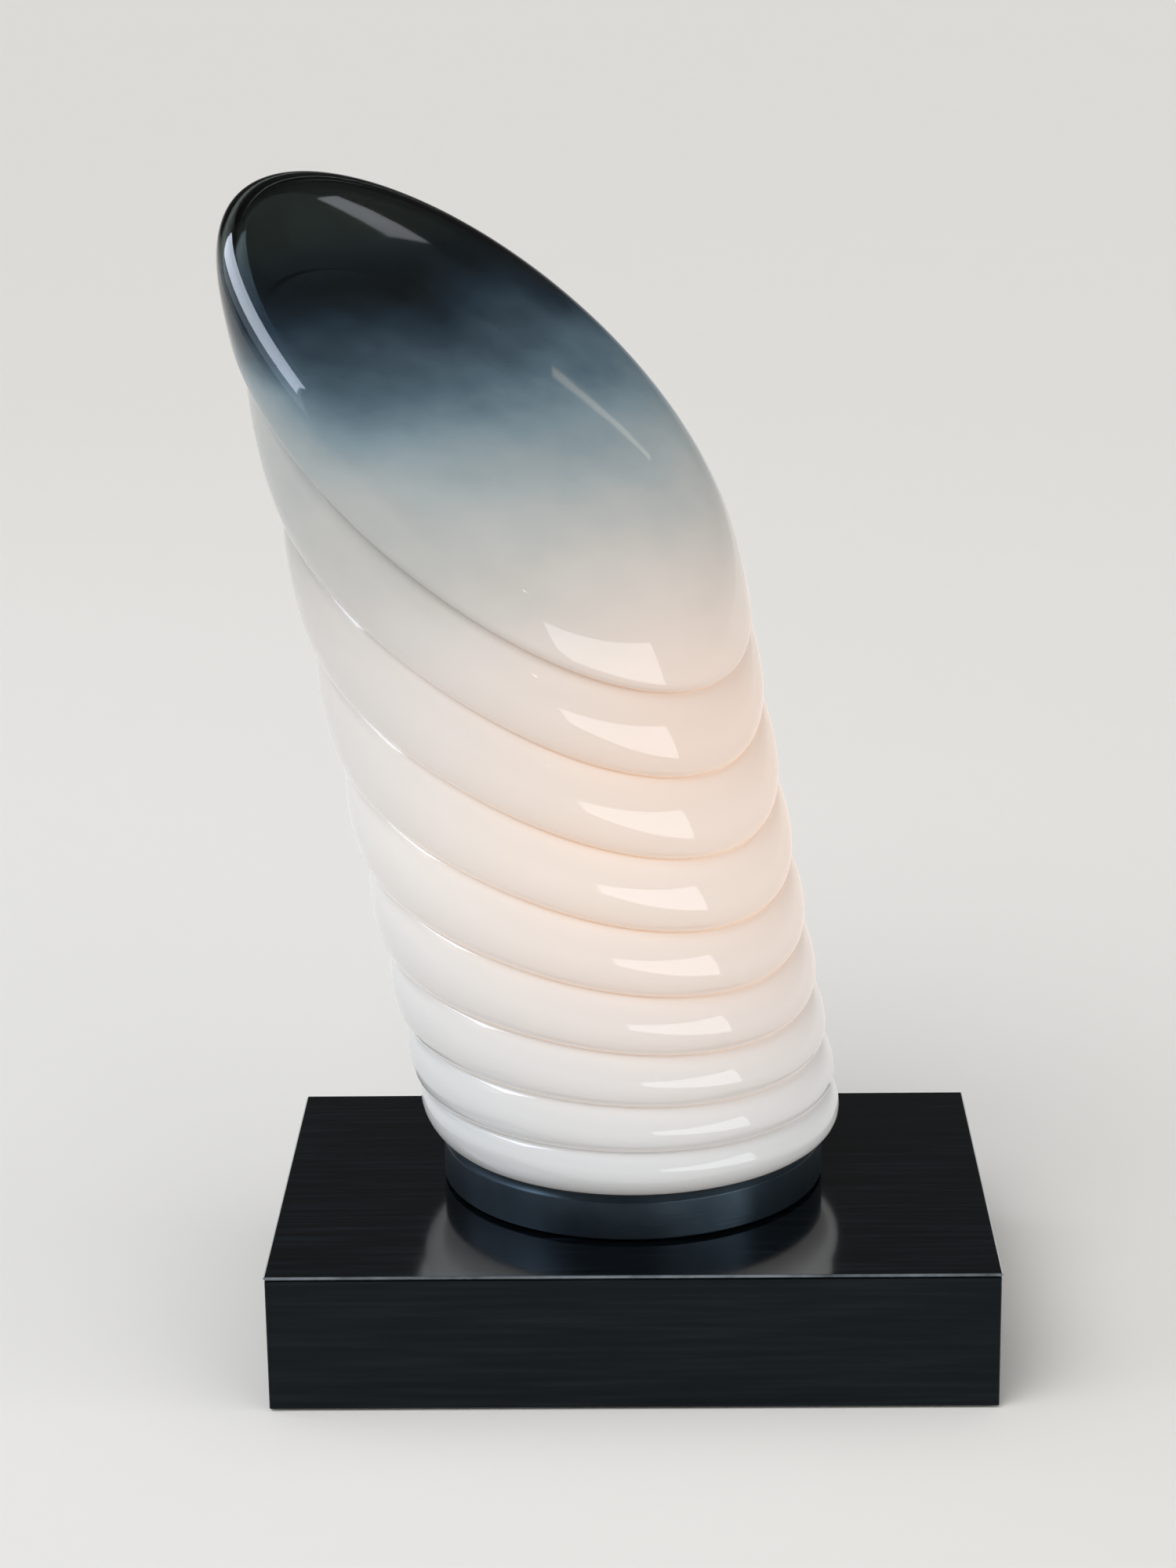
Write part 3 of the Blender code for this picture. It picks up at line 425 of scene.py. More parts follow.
def satin_lacquer(name, stretch, roughness, streak_codes, painted_edge_highlight=False, coat=0.0):
    """Black lacquer sprayed on sheet steel and rubbed down along one way with fine abrasive.

    The rubbing leaves fine lines that draw every reflection out across them, and paler streaks where it bit
    deeper. The top sheet got one more clear coat, which mirrors the glass. With painted_edge_highlight, its
    edge is painted pale grey in patches: a painted highlight for the light caught by its bevel."""
    material, tree, shader = new_material(name, "#080B10", roughness)
    shader.inputs["IOR"].default_value = 1.6
    shader.inputs["Specular Tint"].default_value = linear("#76858F")
    shader.inputs["Coat Weight"].default_value = coat
    shader.inputs["Coat Roughness"].default_value = 0.10
    shader.inputs["Coat IOR"].default_value = 1.55
    place = add_node(tree, "ShaderNodeTexCoord").outputs["Object"]

    # The real lines are about 0.2 mm apart; they are drawn 2 mm apart so that they show.
    rubbed = add_node(tree, "ShaderNodeMapping", {"Vector": place, "Scale": stretch})
    lines = add_node(tree, "ShaderNodeTexNoise", {"Vector": rubbed, "Scale": 500, "Detail": 3})
    streaks = add_node(tree, "ShaderNodeTexNoise", {"Vector": rubbed, "Scale": 420, "Detail": 4})
    colour = add_node(tree, "ShaderNodeValToRGB", {"Fac": streaks}, stops=list(
        zip((0.36, 0.52, 0.70, 0.78), streak_codes))).outputs["Color"]
    if painted_edge_highlight:
        side = add_node(tree, "ShaderNodeVectorMath", {0: place}, operation="ABSOLUTE")
        side = add_node(tree, "ShaderNodeSeparateXYZ", {"Vector": side})
        past_end = add_node(tree, "ShaderNodeMapRange", {
            "Value": side.outputs["X"],
            "From Min": BASE_LENGTH / 2 - EDGE_HIGHLIGHT_WIDTH, "From Max": BASE_LENGTH / 2 - EDGE_HIGHLIGHT_WIDTH / 2,
        })
        past_front = add_node(tree, "ShaderNodeMapRange", {
            "Value": side.outputs["Y"],
            "From Min": BASE_DEPTH / 2 - EDGE_HIGHLIGHT_WIDTH, "From Max": BASE_DEPTH / 2 - EDGE_HIGHLIGHT_WIDTH / 2,
        })
        edge = add_node(tree, "ShaderNodeMath", {0: past_end, 1: past_front}, operation="MAXIMUM")
        # The painted highlight along the edge is broken into patches some 15 mm long.
        patches = add_node(tree, "ShaderNodeTexNoise", {"Vector": place, "Scale": 60, "Detail": 4})
        patches = add_node(tree, "ShaderNodeMapRange", {
            "Value": patches, "From Min": 0.3, "From Max": 0.6, "To Min": 0.25, "To Max": 1.0,
        })
        edge = add_node(tree, "ShaderNodeMath", {0: edge, 1: patches}, operation="MULTIPLY")
        # Painted highlight: the edge is mixed toward pale grey, for the light that the top sheet's bevel
        # catches.
        colour = add_node(tree, "ShaderNodeMix", {
            "Factor": edge, "A": colour, "B": linear("#6C747A"),
        }, data_type="RGBA").outputs["Result"]
    tree.links.new(colour, shader.inputs["Base Color"])
    dulled = add_node(tree, "ShaderNodeMapRange", {
        "Value": streaks, "From Min": 0.3, "From Max": 0.7,
        "To Min": roughness * 0.85, "To Max": roughness * 1.15,
    })
    tree.links.new(dulled.outputs["Result"], shader.inputs["Roughness"])
    relief = add_node(tree, "ShaderNodeBump", {"Height": lines, "Distance": 0.0002, "Strength": 0.15})
    tree.links.new(relief.outputs["Normal"], shader.inputs["Normal"])
    return material


def plain_finish(name, colour, roughness, metallic=0.0, mottle=0.08, scale=400, depth=0.0001):
    """A finish of one colour, a little duller in some places than in others, with the slight unevenness of
    the way it was made. The scale is in marks per metre."""
    material, tree, shader = new_material(name, colour, roughness, metallic)
    place = add_node(tree, "ShaderNodeTexCoord").outputs["Object"]
    uneven = add_node(tree, "ShaderNodeTexNoise", {"Vector": place, "Scale": scale, "Detail": 3})
    dulled = add_node(tree, "ShaderNodeMapRange", {
        "Value": uneven, "From Min": 0.3, "From Max": 0.7,
        "To Min": roughness * (1 - mottle), "To Max": roughness * (1 + mottle),
    })
    tree.links.new(dulled.outputs["Result"], shader.inputs["Roughness"])
    if depth:
        relief = add_node(tree, "ShaderNodeBump", {"Height": uneven, "Distance": depth, "Strength": 0.3})
        tree.links.new(relief.outputs["Normal"], shader.inputs["Normal"])
    return material


def blackened_collar():
    """Steel turned on a lathe, brushed round and blackened: satin blue-black, drawing lights out upright.

    The blacking is a thin oxide skin, so the surface isn't quite bare metal."""
    material, tree, shader = new_material("blackened_brushed_steel", "#39454F", 0.36, 0.85)
    shader.inputs["Anisotropic"].default_value = 0.7
    shader.inputs["Anisotropic Rotation"].default_value = 0.25
    round_about = add_node(tree, "ShaderNodeTangent", direction_type="RADIAL", axis="Z")
    tree.links.new(round_about.outputs["Tangent"], shader.inputs["Tangent"])
    place = add_node(tree, "ShaderNodeTexCoord").outputs["Object"]

    # The blacking took unevenly, in clouds about 30 mm wide.
    clouds = add_node(tree, "ShaderNodeTexNoise", {"Vector": place, "Scale": 30, "Detail": 3})
    clouds = add_node(tree, "ShaderNodeValToRGB", {"Fac": clouds}, stops=[
        (0.3, "#313D46"), (0.7, "#424F59"),
    ])
    tree.links.new(clouds.outputs["Color"], shader.inputs["Base Color"])
    # The real brush lines are about 0.1 mm apart; they are drawn 0.7 mm apart so that they show.
    brushed = add_node(tree, "ShaderNodeMapping", {"Vector": place, "Scale": (0.02, 0.02, 1)})
    lines = add_node(tree, "ShaderNodeTexNoise", {"Vector": brushed, "Scale": 1400, "Detail": 2})
    relief = add_node(tree, "ShaderNodeBump", {"Height": lines, "Distance": 0.0002, "Strength": 0.2})
    tree.links.new(relief.outputs["Normal"], shader.inputs["Normal"])
    return material


shade_glass = opal_to_clear_glass()
TOP_STREAKS = ("#040507", "#070A0E", "#10171D", "#1E282F")
SIDE_STREAKS = ("#050607", "#090B0D", "#0F1316", "#171D21")
RUBBED_ALONG, RUBBED_ACROSS = (0.04, 1, 1), (1, 0.04, 1)
# The top sheet's edge carries a painted highlight.
lacquer_top = satin_lacquer(
    "satin_black_lacquer_top", RUBBED_ALONG, 0.13, TOP_STREAKS, painted_edge_highlight=True, coat=1.0)
lacquer_long = satin_lacquer("satin_black_lacquer_long_side", RUBBED_ALONG, 0.34, SIDE_STREAKS)
lacquer_end = satin_lacquer("satin_black_lacquer_end", RUBBED_ACROSS, 0.34, SIDE_STREAKS)
collar_metal = blackened_collar()
# Rubber pressed in a mould: dull, with the bloom of its filler.
brown_rubber = plain_finish("brown_rubber", "#1F1712", 0.6)
# Wool pressed into felt: matt all over. Its fibres are 0.02 mm thick; they are drawn as tufts 0.4 mm apart
# so that they show.
felt = plain_finish("black_felt", "#1B1B1C", 0.95, mottle=0.05, scale=2500, depth=0.0004)
# Steel dipped in a zinc bath and passivated: pale grey, cloudy every few millimetres.
zinc = plain_finish("zinc_plated_steel", "#B9BBB8", 0.35, metallic=1.0, mottle=0.2, scale=250)
# Brass strip rolled into a thread and plated with nickel: bright, a little warm.
nickel = plain_finish("nickel_plated_brass", "#C9C6BD", 0.22, metallic=1.0)
# Brass turned from rod and left bare: yellow, slightly dulled by air.
brass = plain_finish("brass", "#C9A25A", 0.28, metallic=1.0)
# Phenolic and nylon pressed or injected in spark-eroded moulds, whose fine grain makes them half matt.
black_plastic = plain_finish("black_moulded_plastic", "#141415", 0.42)
white_plastic = plain_finish("white_moulded_plastic", "#E2E0DA", 0.4)
# Steatite pressed and fired without a glaze: off-white, dry and slightly grainy.
ceramic = plain_finish("fired_steatite", "#DCD5C6", 0.5, mottle=0.1, scale=900)
# Soft vinyl drawn over copper wire: smooth, with the soft shine of a drawn skin.
brown_wire = plain_finish("brown_wire_insulation", "#5A3420", 0.45)
blue_wire = plain_finish("blue_wire_insulation", "#2B5C9A", 0.45)
green_wire = plain_finish("green_and_yellow_wire_insulation", "#5B8A2E", 0.45)
# Opal polycarbonate, blow moulded and lit from inside: even and warm, with a half matt skin.
bulb_cover = plain_finish("opal_polycarbonate", "#F2EBDD", 0.35, mottle=0.05, depth=0)
cover_shader = bulb_cover.node_tree.nodes["Principled BSDF"]
cover_shader.inputs["Emission Color"].default_value = linear("#FFD9B0")
cover_shader.inputs["Emission Strength"].default_value = 1.0

finish_of_slot = {
    "felt": felt, "zinc_steel": zinc, "nickel": nickel, "black_plastic": black_plastic,
    "white_plastic": white_plastic, "brass": brass, "brown_wire": brown_wire, "blue_wire": blue_wire,
    "green_wire": green_wire, "collar_bronze": collar_metal, "brown_rubber": brown_rubber,
    "ceramic": ceramic, "opal_cover": bulb_cover, "opal_glass": shade_glass, "base_lacquer": lacquer_long,
}
finish_of_node = {
    "base_top": lacquer_top, "base_bottom": lacquer_top,
    "base_left": lacquer_end, "base_right": lacquer_end,
}
slot_of = {part["node"]: part["material_slot"] for part in frame["record"]["subparts"]}


def finish_for(node):
    """The finish of a solid: its own where it has one, or else that of its slot."""
    return finish_of_node.get(node, finish_of_slot[slot_of[node]])


for node in slot_of:
    mesh = frame["nodes"][node].data
    mesh.materials.clear()
    mesh.materials.append(finish_for(node))

# Pieces finer than the solids

SCREW_SIDES, SMALL_SIDES, RING_SIDES = 48, 48, 192
STEM_R, STEM_BORE_R, STEM_BOTTOM, STEM_TOP = 0.005, 0.0035, 0.0455, 0.0920
STEM_PITCH, STEM_THREAD_DEPTH = 0.001, 0.0005
NUT_ACROSS, NUT_HEIGHT, NUT_FACE_SHARE, NUT_CORNER_DROP = 0.014, 0.004, 0.97, 0.0002
NUT_CORNER_SLOPE = 0.577
NUT_BOTTOMS = {"stem_nut_lower": 0.0527, "stem_nut_upper": 0.0661, "holder_nut": 0.0817}
WASHER_R, WASHER_THICK = 0.010, 0.0012
WASHER_BOTTOMS = {"stem_washer_lower": 0.0570, "stem_washer_upper": 0.0646}

# The lampholder, from its foot up.
HOLDER_R, HOLDER_WALL = 0.020, 0.0025
HOLDER_CAP_BOTTOM, HOLDER_CAP_WIDEST, HOLDER_CAP_TOP = 0.0860, 0.0968, 0.104
HOLDER_NECK_R, HOLDER_SHOULDER_R, INNER_SHOULDER_R, INNER_SHOULDER = 0.0080, 0.016, 0.014, 0.0910
HOLDER_TOP, HOLDER_SHELF_R = 0.142, 0.015
INSULATOR_BOTTOM, INSULATOR_TOP = 0.108, 0.114
CONTACT_R, CONTACT_TIP_R, CONTACT_STRAIGHT, CONTACT_HEIGHT = 0.0045, 0.0030, 0.0013, 0.0020
LAMP_THREAD_PITCH, LAMP_THREAD_DEPTH = 0.00362, 0.0006
SHELL_R, SHELL_WALL, SHELL_HEIGHT = 0.01445, 0.0005, 0.020

# The bulb, from its contact up.
TIP_R, TIP_HEIGHT = 0.0027, 0.0015
GLASS_SEAL_R, GLASS_SEAL_HEIGHT = 0.0126, 0.0032
CAP_R, CAP_WALL, CAP_HEIGHT = 0.0131, 0.0005, 0.020
CAP_FLOOR_R, CAP_FLOOR_R_INSIDE, CAP_THREAD_UP, CAP_THREAD_UP_INSIDE = 0.0119, 0.0115, 0.0008, 0.0012
HOUSING_NECK_R, HOUSING_BORE_R, HOUSING_BOTTOM = 0.0116, 0.0103, 0.1227
HOUSING_WAIST_R, HOUSING_WAIST, HOUSING_TOP = 0.0186, 0.1538, 0.1759
BOARD_THICK, BOARD_SEAT_R = 0.0012, 0.0240
BULB_R, BULB_WALL, BULB_DOME_RISE, BULB_DOME_STEPS = 0.030, 0.0015, 0.038, 24

CORD_HOLE_R, BUSHING_R, BUSHING_FLANGE_R, INLET_HEIGHT = 0.0035, 0.007, 0.010, 0.030
BUSHING_INSIDE, BUSHING_FLANGE, BUSHING_OUTSIDE = 0.0885, 0.0998, 0.1018
FELT_LONG, FELT_WIDE, FELT_SHEET = 0.2924, 0.1924, 0.002
FELT_SOFT_RIM, FELT_RIM_CURVE, FELT_INNER_RING, FELT_FRAY = 0.0006, 0.3, 0.04, 0.00012
FELT_STEPS_LONG, FELT_STEPS_WIDE = 60, 40


def refine(piece, node, body="stand"):
    """Put a finer piece in the place of one solid, in that solid's finish."""
    fit(piece, finish_for(node), body, slot_of[node], node)


def thread(crest_r, depth, pitch, low, high, steps_per_turn=8):
    """Rings of a rolled screw thread: the radius rises and falls as it winds upwards."""
    rings = []
    steps = round((high - low) / pitch * steps_per_turn)
    for step in range(steps + 1):
        height = low + (high - low) * step / steps
        ring = []
        for side in range(SCREW_SIDES):
            turn = math.tau * side / SCREW_SIDES
            radius = crest_r - depth / 2 * (1 - math.cos(math.tau * height / pitch - turn))
            ring.append((radius * math.cos(turn), COLLAR_BACK + radius * math.sin(turn), height))
        rings.append(ring)
    return rings


def hexagon_nut(name, bottom):
    """A pressed steel nut: six flats, with the corners turned off at both faces."""
    top, sides = bottom + NUT_HEIGHT, SCREW_SIDES * 2
    flat_r, hole_r = NUT_ACROSS / 2, STEM_R + GAP

    def corners(face, inward):
        points = []
        for side in range(sides):
            turn = math.tau * side / sides
            radius = flat_r / math.cos(turn % (math.pi / 3) - math.pi / 6)
            height = face + inward * (NUT_CORNER_DROP + (radius - flat_r) * NUT_CORNER_SLOPE)
            points.append((radius * math.cos(turn), COLLAR_BACK + radius * math.sin(turn), height))
        return points

    return skin(name, [
        circle(hole_r, bottom, sides), circle(flat_r * NUT_FACE_SHARE, bottom, sides), corners(bottom, 1),
        corners(top, -1), circle(flat_r * NUT_FACE_SHARE, top, sides), circle(hole_r, top, sides),
    ], 25)


def washer(name, bottom):
    """A washer pressed from sheet, with its edges rounded by the pressing."""
    hole_r, top = STEM_R + GAP, bottom + WASHER_THICK
    profile = [(hole_r, bottom), (WASHER_R, bottom), (WASHER_R, top), (hole_r, top)]
    return turned(name, profile, soften=0.0003)


def collar():
    """The turned ring, and the rubber gasket that keeps the glass off its ledge and wall."""
    ring_low, ledge_low = BASE_HEIGHT + SHADOW_GAP, DISC_TOP + GAP
    refine(turned("turned_collar_ring", [
        (DISC_R + GAP, ring_low), (RING_R, ring_low),
        (RING_R, RING_TOP - RING_CHAMFER), (RING_R - RING_CHAMFER, RING_TOP), (SOCKET_R, RING_TOP),
        (SOCKET_R, LEDGE_TOP), (LEDGE_R, LEDGE_TOP), (LEDGE_R, ledge_low), (DISC_R + GAP, ledge_low),
    ], soften=0.0005, sides=RING_SIDES), "collar_ring")

    lip_top, lip_inner, lip_outer = RING_TOP - GASKET_LIP_DROP, FOOT_R + GAP, SOCKET_R - GAP
    seat, under_glass = GASKET_BOTTOM + GASKET_THICK, FOOT_R - GASKET_SEAT
    refine(turned("moulded_rubber_gasket", [
        (under_glass, GASKET_BOTTOM), (lip_outer, GASKET_BOTTOM), (lip_outer, lip_top),
        (lip_inner, lip_top), (lip_inner, seat), (under_glass, seat),
    ], soften=0.0003, sides=RING_SIDES), "glass_gasket")


def stem():
    """The threaded tube up the middle, with the washers and nuts that clamp on it."""
    refine(skin("threaded_stem", [
        circle(STEM_BORE_R, STEM_BOTTOM, SCREW_SIDES),
        *thread(STEM_R, STEM_THREAD_DEPTH, STEM_PITCH, STEM_BOTTOM, STEM_TOP, steps_per_turn=6),
        circle(STEM_BORE_R, STEM_TOP, SCREW_SIDES),
    ], 60), "stem_tube")
    for node, bottom in WASHER_BOTTOMS.items():
        refine(washer(f"pressed_{node}", bottom), node)
    for node, bottom in NUT_BOTTOMS.items():
        refine(hexagon_nut(f"chamfered_{node}", bottom), node)


def lampholder():
    """The moulded holder on the stem: cap, body, insulator, threaded shell and middle contact."""
    hole_r, inside_r, cap_floor = STEM_R + GAP, HOLDER_R - HOLDER_WALL, HOLDER_CAP_BOTTOM + HOLDER_WALL
    refine(turned("moulded_holder_cap", [
        (hole_r, HOLDER_CAP_BOTTOM), (HOLDER_NECK_R, HOLDER_CAP_BOTTOM), (HOLDER_SHOULDER_R, cap_floor),
        (HOLDER_R, HOLDER_CAP_WIDEST), (HOLDER_R, HOLDER_CAP_TOP), (inside_r, HOLDER_CAP_TOP),
        (inside_r, HOLDER_CAP_WIDEST), (INNER_SHOULDER_R, INNER_SHOULDER), (hole_r, cap_floor),
    ], soften=0.0016), "holder_cap")

    body_low, shelf = HOLDER_CAP_TOP + GAP, INSULATOR_BOTTOM - GAP
    refine(turned("moulded_holder_body", [
        (HOLDER_SHELF_R, body_low), (HOLDER_R, body_low), (HOLDER_R, HOLDER_TOP - HOLDER_WALL),
        (HOLDER_R - HOLDER_WALL / 2, HOLDER_TOP), (inside_r, HOLDER_TOP), (inside_r, shelf),
        (HOLDER_SHELF_R, shelf),
    ], soften=0.0008), "holder_body")

    insulator_r = inside_r - GAP
    refine(turned("fired_holder_insulator", [
        (0, INSULATOR_BOTTOM), (insulator_r, INSULATOR_BOTTOM),
        (insulator_r, INSULATOR_TOP), (0, INSULATOR_TOP),
    ], soften=0.0006), "holder_insulator")

    low = INSULATOR_TOP + GAP
    high = low + SHELL_HEIGHT
    outside_r, depth = SHELL_R + LAMP_THREAD_DEPTH / 4, LAMP_THREAD_DEPTH / 2
    refine(skin("rolled_holder_shell", [
        *thread(outside_r, depth, LAMP_THREAD_PITCH, low, high),
        *reversed(thread(outside_r - SHELL_WALL, depth, LAMP_THREAD_PITCH, low, high)),
    ], 60), "holder_shell")
    tip = low + CONTACT_HEIGHT
    refine(turned("pressed_holder_contact", [
        (0, low), (CONTACT_R, low), (CONTACT_R, low + CONTACT_STRAIGHT), (CONTACT_TIP_R, tip), (0, tip),
    ], sides=SMALL_SIDES), "holder_contact")


def bulb():
    """The bulb in the holder: contact, insulator, threaded cap, housing, board of lights and cover."""
    tip = INSULATOR_TOP + GAP + CONTACT_HEIGHT + GAP
    tip_top = tip + TIP_HEIGHT
    refine(turned("pressed_bulb_contact", [
        (0, tip), (TIP_R, tip), (CONTACT_R, tip_top), (0, tip_top),
    ], sides=SMALL_SIDES), "bulb_contact", "bulb")

    seal = tip_top + GAP
    seal_top = seal + GLASS_SEAL_HEIGHT
    refine(turned("bulb_glass_insulator", [
        (0, seal), (CONTACT_R, seal), (GLASS_SEAL_R, seal_top), (0, seal_top),
    ], sides=SMALL_SIDES), "bulb_insulator", "bulb")

    cap_low = seal_top + GAP
    cap_top, cap_floor = cap_low + CAP_HEIGHT, cap_low + CAP_WALL
    thread_top, inside_r = cap_top - CAP_THREAD_UP, CAP_R - CAP_WALL
    outside = thread(CAP_R, LAMP_THREAD_DEPTH, LAMP_THREAD_PITCH, cap_low + CAP_THREAD_UP, thread_top)
    inside = thread(
        inside_r, LAMP_THREAD_DEPTH, LAMP_THREAD_PITCH, cap_low + CAP_THREAD_UP_INSIDE, thread_top)
    refine(skin("rolled_bulb_cap", [
        [(0, COLLAR_BACK, cap_low)], circle(CAP_FLOOR_R, cap_low, SCREW_SIDES), *outside,
        circle(CAP_R, cap_top, SCREW_SIDES), circle(inside_r, cap_top, SCREW_SIDES), *reversed(inside),
        circle(CAP_FLOOR_R_INSIDE, cap_floor, SCREW_SIDES), [(0, COLLAR_BACK, cap_floor)],
    ], 60), "bulb_cap", "bulb")

    rim_r = BULB_R - BULB_WALL
    board_low, waist_r_inside = HOUSING_TOP - BOARD_THICK, HOUSING_WAIST_R - BULB_WALL
    refine(turned("moulded_bulb_housing", [
        (HOUSING_BORE_R, HOUSING_BOTTOM), (HOUSING_NECK_R, HOUSING_BOTTOM),
        (HOUSING_NECK_R, cap_top + GAP), (CAP_R, cap_top + GAP), (HOUSING_WAIST_R, HOUSING_WAIST),
        (BULB_R, HOUSING_TOP), (rim_r, HOUSING_TOP), (rim_r, board_low - GAP),
        (BOARD_SEAT_R, board_low - GAP), (waist_r_inside, HOUSING_WAIST), (HOUSING_BORE_R, cap_top),
    ], soften=0.004), "bulb_housing", "bulb")
    refine(turned("round_led_board", [
        (0, board_low), (rim_r - GAP, board_low), (rim_r - GAP, HOUSING_TOP), (0, HOUSING_TOP),
    ], soften=0.0003), "bulb_led_board", "bulb")

    cover_low = HOUSING_TOP + GAP

    def arc(radius, rise):
        turns = [math.pi / 2 * step / BULB_DOME_STEPS for step in range(BULB_DOME_STEPS)]
        points = [(radius * math.cos(turn), cover_low + rise * math.sin(turn)) for turn in turns]
        return [*points, (0, cover_low + rise)]

    refine(turned("blown_bulb_cover", [
        *arc(BULB_R, BULB_DOME_RISE), *reversed(arc(BULB_R - BULB_WALL, BULB_DOME_RISE - BULB_WALL)),
    ], soften=0), "bulb_dome", "bulb")


def cord_inlet():
    """The flanged bushing in the rear wall, turned upright and then laid towards the back."""
    bushing = turned("moulded_bushing", [
        (CORD_HOLE_R, BUSHING_INSIDE), (BUSHING_R, BUSHING_INSIDE), (BUSHING_R, BUSHING_FLANGE),
        (BUSHING_FLANGE_R, BUSHING_FLANGE), (BUSHING_FLANGE_R, BUSHING_OUTSIDE),
        (CORD_HOLE_R, BUSHING_OUTSIDE),
    ], soften=0.0006, sides=64, at=(0, 0))
    laid_back = Matrix.Rotation(-math.pi / 2, 4, "X")
    bushing.data.transform(Matrix.Translation((0, 0, INLET_HEIGHT)) @ laid_back)
    refine(bushing, "cord_bushing")


def felt_sheet():
    """Pressed wool felt cut to the cover plate: a soft rim, and a cut that wanders by up to 0.5 mm."""
    corners = [(-1, -1), (1, -1), (1, 1), (-1, 1)]
    counts = [FELT_STEPS_LONG, FELT_STEPS_WIDE] * 2
    outline = []
    for low, high, count in zip(corners, corners[1:] + corners[:1], counts):
        for step in range(count):
            share = step / count
            outline.append((low[0] + (high[0] - low[0]) * share, low[1] + (high[1] - low[1]) * share))

    def ring(inward, height):
        points = []
        for number, (right, back) in enumerate(outline):
            fray = FELT_FRAY * (math.sin(number * 2.1) + math.sin(number * 5.3 + 1) - 2)
            half_long, half_wide = FELT_LONG / 2 - inward + fray, FELT_WIDE / 2 - inward + fray
            points.append((right * half_long, back * half_wide, height))
        return points

    soft, flat, curve = FELT_SOFT_RIM, FELT_SHEET - FELT_SOFT_RIM, FELT_SOFT_RIM * FELT_RIM_CURVE
    return skin("felt_sheet", [
        [(0, 0, 0)], ring(FELT_INNER_RING, 0), ring(soft, 0), ring(curve, curve), ring(0, soft),
        ring(0, flat), ring(curve, FELT_SHEET - curve), ring(soft, FELT_SHEET),
        ring(FELT_INNER_RING, FELT_SHEET), [(0, 0, FELT_SHEET)],
    ], 80)


fit(blown_shade(), shade_glass, "shade", "opal_glass", "glass_shade")
collar()
stem()
lampholder()
bulb()
cord_inlet()
felt_under_plate = felt_sheet()
refine(felt_under_plate, "table_felt")

# The studio: pale floor, soft light and camera


FLOOR_HALF_WIDTH = 40
CAMERA_AT, CAMERA_LENS, CAMERA_SENSOR = (0.01092, -1.43627, 0.66587), 82.42, 36
CAMERA_TURN, CAMERA_DIP, CAMERA_ROLL = math.radians(1.12), math.radians(16.58), math.radians(-0.79)


def stage_floor():
    """A seamless sheet of pale matt paper, wide enough to fill every view."""
    shape = bmesh.new()
    bmesh.ops.create_grid(shape, x_segments=1, y_segments=1, size=FLOOR_HALF_WIDTH)
    mesh = bpy.data.meshes.new("studio_floor")
    shape.to_mesh(mesh)
    shape.free()
    floor = bpy.data.objects.new("studio_floor", mesh)
    bpy.context.scene.collection.objects.link(floor)
    material, _, shader = new_material("pale_studio_floor", "#E4E2DE", 0.9)
    shader.inputs["Specular IOR Level"].default_value = 0.0
    mesh.materials.append(material)


def soft_light(name, at, look_at, size, radiance, colour, diffuse=True, roll_degrees=0):
    """A flat softbox of an even radiance, turned to face a point."""
    width, height = size
    lamp = bpy.data.lights.new(name, "AREA")
    lamp.shape = "RECTANGLE"
    lamp.size, lamp.size_y = width, height
    lamp.energy = radiance * math.pi * width * height
    lamp.color = linear(colour)[:3]
    light = bpy.data.objects.new(name, lamp)
    light.location = at
    light.rotation_mode = "QUATERNION"
    facing = (Vector(at) - Vector(look_at)).to_track_quat("Z", "Y")
    light.rotation_quaternion = facing @ Quaternion((0, 0, 1), math.radians(roll_degrees))
    light.visible_diffuse = diffuse
    light.visible_camera = False
    bpy.context.scene.collection.objects.link(light)


def studio_world():
    """A room that is pale at floor level and dim above, the same for every ray."""
    world = bpy.data.worlds.new("studio")
    world.use_nodes = True
    tree = world.node_tree
    tree.nodes.clear()
    toward = add_node(tree, "ShaderNodeTexCoord").outputs["Generated"]
    upward = add_node(tree, "ShaderNodeSeparateXYZ", {"Vector": toward}).outputs["Z"]
    level = add_node(tree, "ShaderNodeMapRange", {
        "Value": upward, "From Min": 0.02, "From Max": 0.24, "To Min": 0.45, "To Max": 0.04,
    }, interpolation_type="SMOOTHSTEP")
    room = add_node(tree, "ShaderNodeBackground", {"Color": linear("#F4F4F4"), "Strength": level})
    add_node(tree, "ShaderNodeOutputWorld", {"Surface": room})
    bpy.context.scene.world = world


def sky_light(name, power, spread_degrees, tip_degrees, turn_degrees):
    """A very broad light from far off, tipped from straight overhead and then turned about the lamp."""
    lamp = bpy.data.lights.new(name, "SUN")
    lamp.energy = power
    lamp.angle = math.radians(spread_degrees)
    light = bpy.data.objects.new(name, lamp)
    light.rotation_euler = (math.radians(tip_degrees), 0, math.radians(turn_degrees))
    light.visible_glossy = False
    bpy.context.scene.collection.objects.link(light)


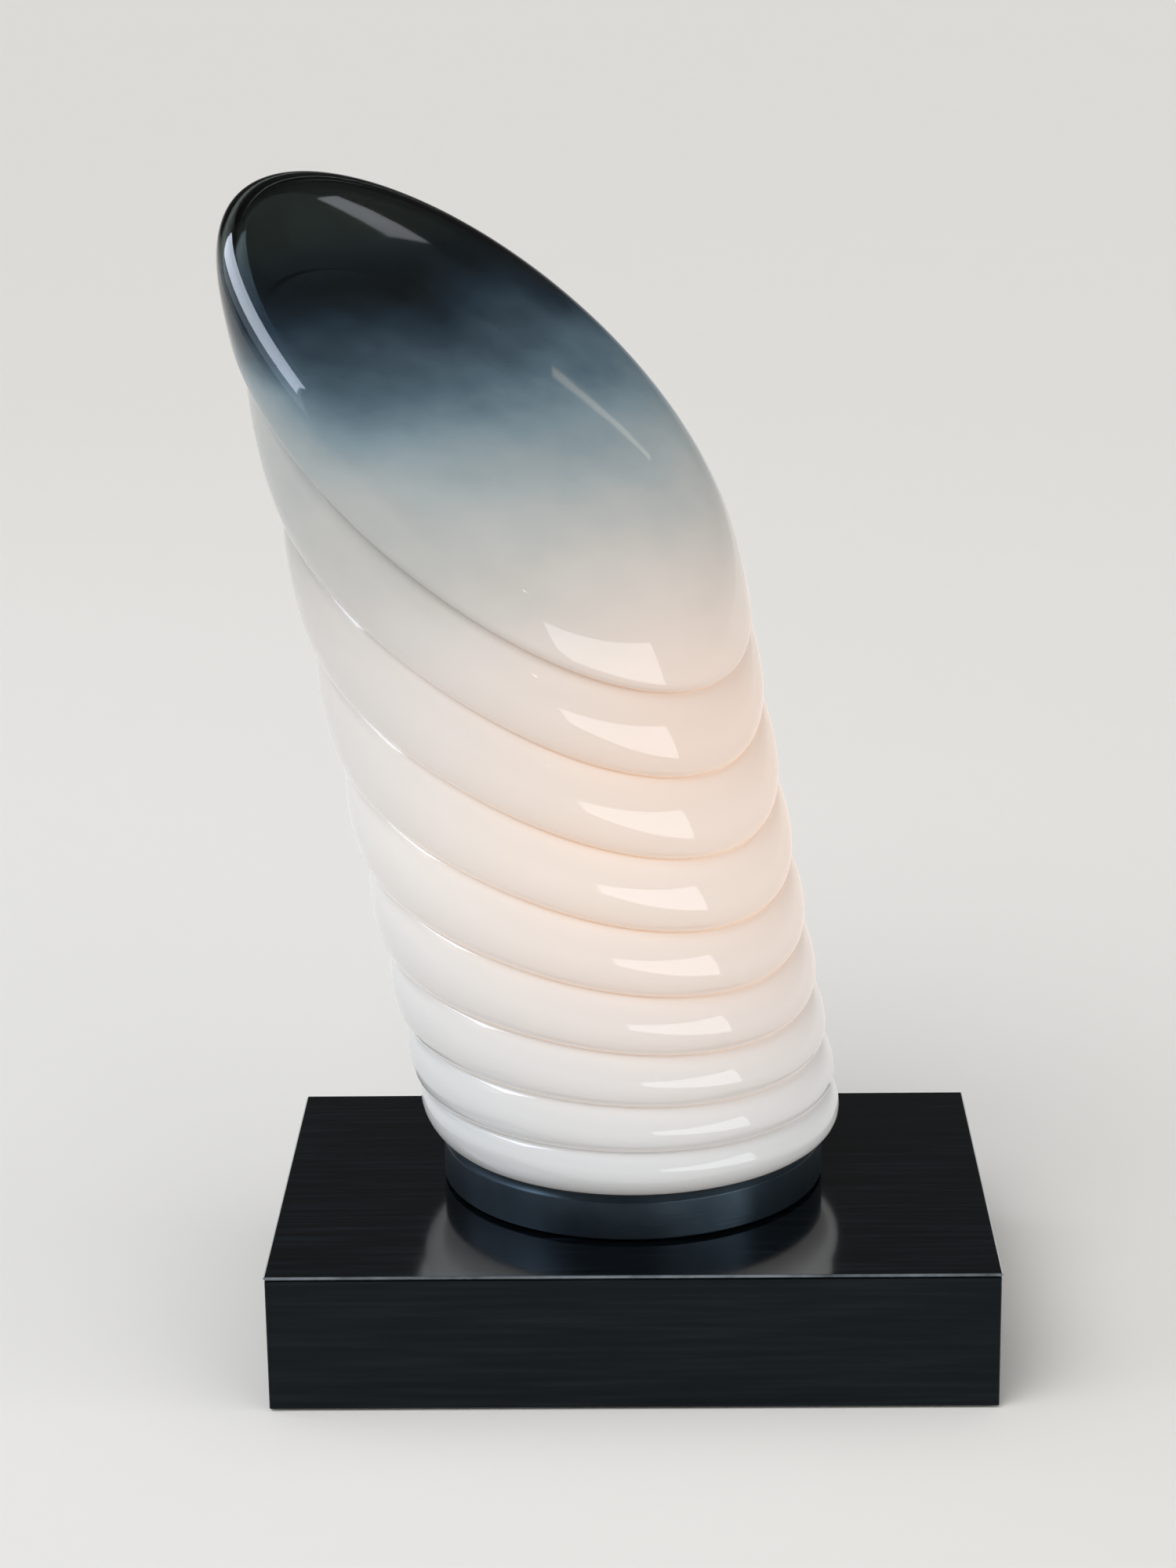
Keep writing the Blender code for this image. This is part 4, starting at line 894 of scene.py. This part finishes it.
def set_camera():
    """The photograph's camera: a long lens, a little to the right, looking down at the lamp's middle."""
    lens = bpy.data.cameras.new("camera")
    lens.sensor_width = CAMERA_SENSOR
    lens.lens = CAMERA_LENS
    camera = bpy.data.objects.new("camera", lens)
    turn = Matrix.Rotation(CAMERA_TURN, 4, "Z")
    look_down = Matrix.Rotation(math.pi / 2 - CAMERA_DIP, 4, "X")
    roll = Matrix.Rotation(CAMERA_ROLL, 4, "Z")
    camera.matrix_world = Matrix.Translation(CAMERA_AT) @ turn @ look_down @ roll
    bpy.context.scene.collection.objects.link(camera)
    bpy.context.scene.camera = camera


stage_floor()
studio_world()
# The room's light on every surface. None of it shows as a reflection.
sky_light("broad_light_left", power=1.34, spread_degrees=40, tip_degrees=38, turn_degrees=-35)
sky_light("broad_light_above", power=1.28, spread_degrees=120, tip_degrees=12, turn_degrees=0)
sky_light("broad_light_right", power=0.88, spread_degrees=50, tip_degrees=78, turn_degrees=46)
sky_light("low_light_right", power=0.66, spread_degrees=28, tip_degrees=77, turn_degrees=82)
sky_light("low_light_left", power=0.50, spread_degrees=28, tip_degrees=77, turn_degrees=-66)
# A long strip that draws a bright patch on each rib.
soft_light("strip_light_right", at=(0.845, -1.60, 0.235), look_at=(0, -1.60, 0.235), size=(2.5, 0.42),
           radiance=3.1, colour="#F6FAFF", diffuse=False)
# A window and a card that show on the dome's left rim.
LEFT_RIM = (-0.15, 0, 0.44)
soft_light("window_left", at=(-1.32, 0.04, 1.20), look_at=LEFT_RIM, size=(1.7, 0.95),
           radiance=1.15, colour="#DDEBFF")
soft_light("card_left", at=(-1.10, 0.03, 1.46), look_at=LEFT_RIM, size=(1.6, 0.75),
           radiance=8.0, colour="#E3EEFF", diffuse=False)
# A panel that shows near the dome's tip, and a tube that draws the fine line down its face.
soft_light("panel_behind", at=(0.40, 1.32, 1.66), look_at=(-0.1, 0.08, 0.46), size=(0.27, 0.10),
           radiance=1.1, colour="#F4F6FF")
soft_light("tube_behind", at=(0.899, 1.117, 1.494), look_at=(-0.017, 0.037, 0.396), size=(0.34, 0.03),
           radiance=1.5, colour="#FFEFDA", roll_degrees=54.6)
# A small lamp in front that puts a glint on the white.
soft_light("glint", at=(0.08, -0.40, 0.43), look_at=(0, -0.06, 0.2), size=(0.014, 0.005),
           radiance=12.0, colour="#FFFFFF")
set_camera()

scene = bpy.context.scene
scene.view_settings.view_transform = "Standard"
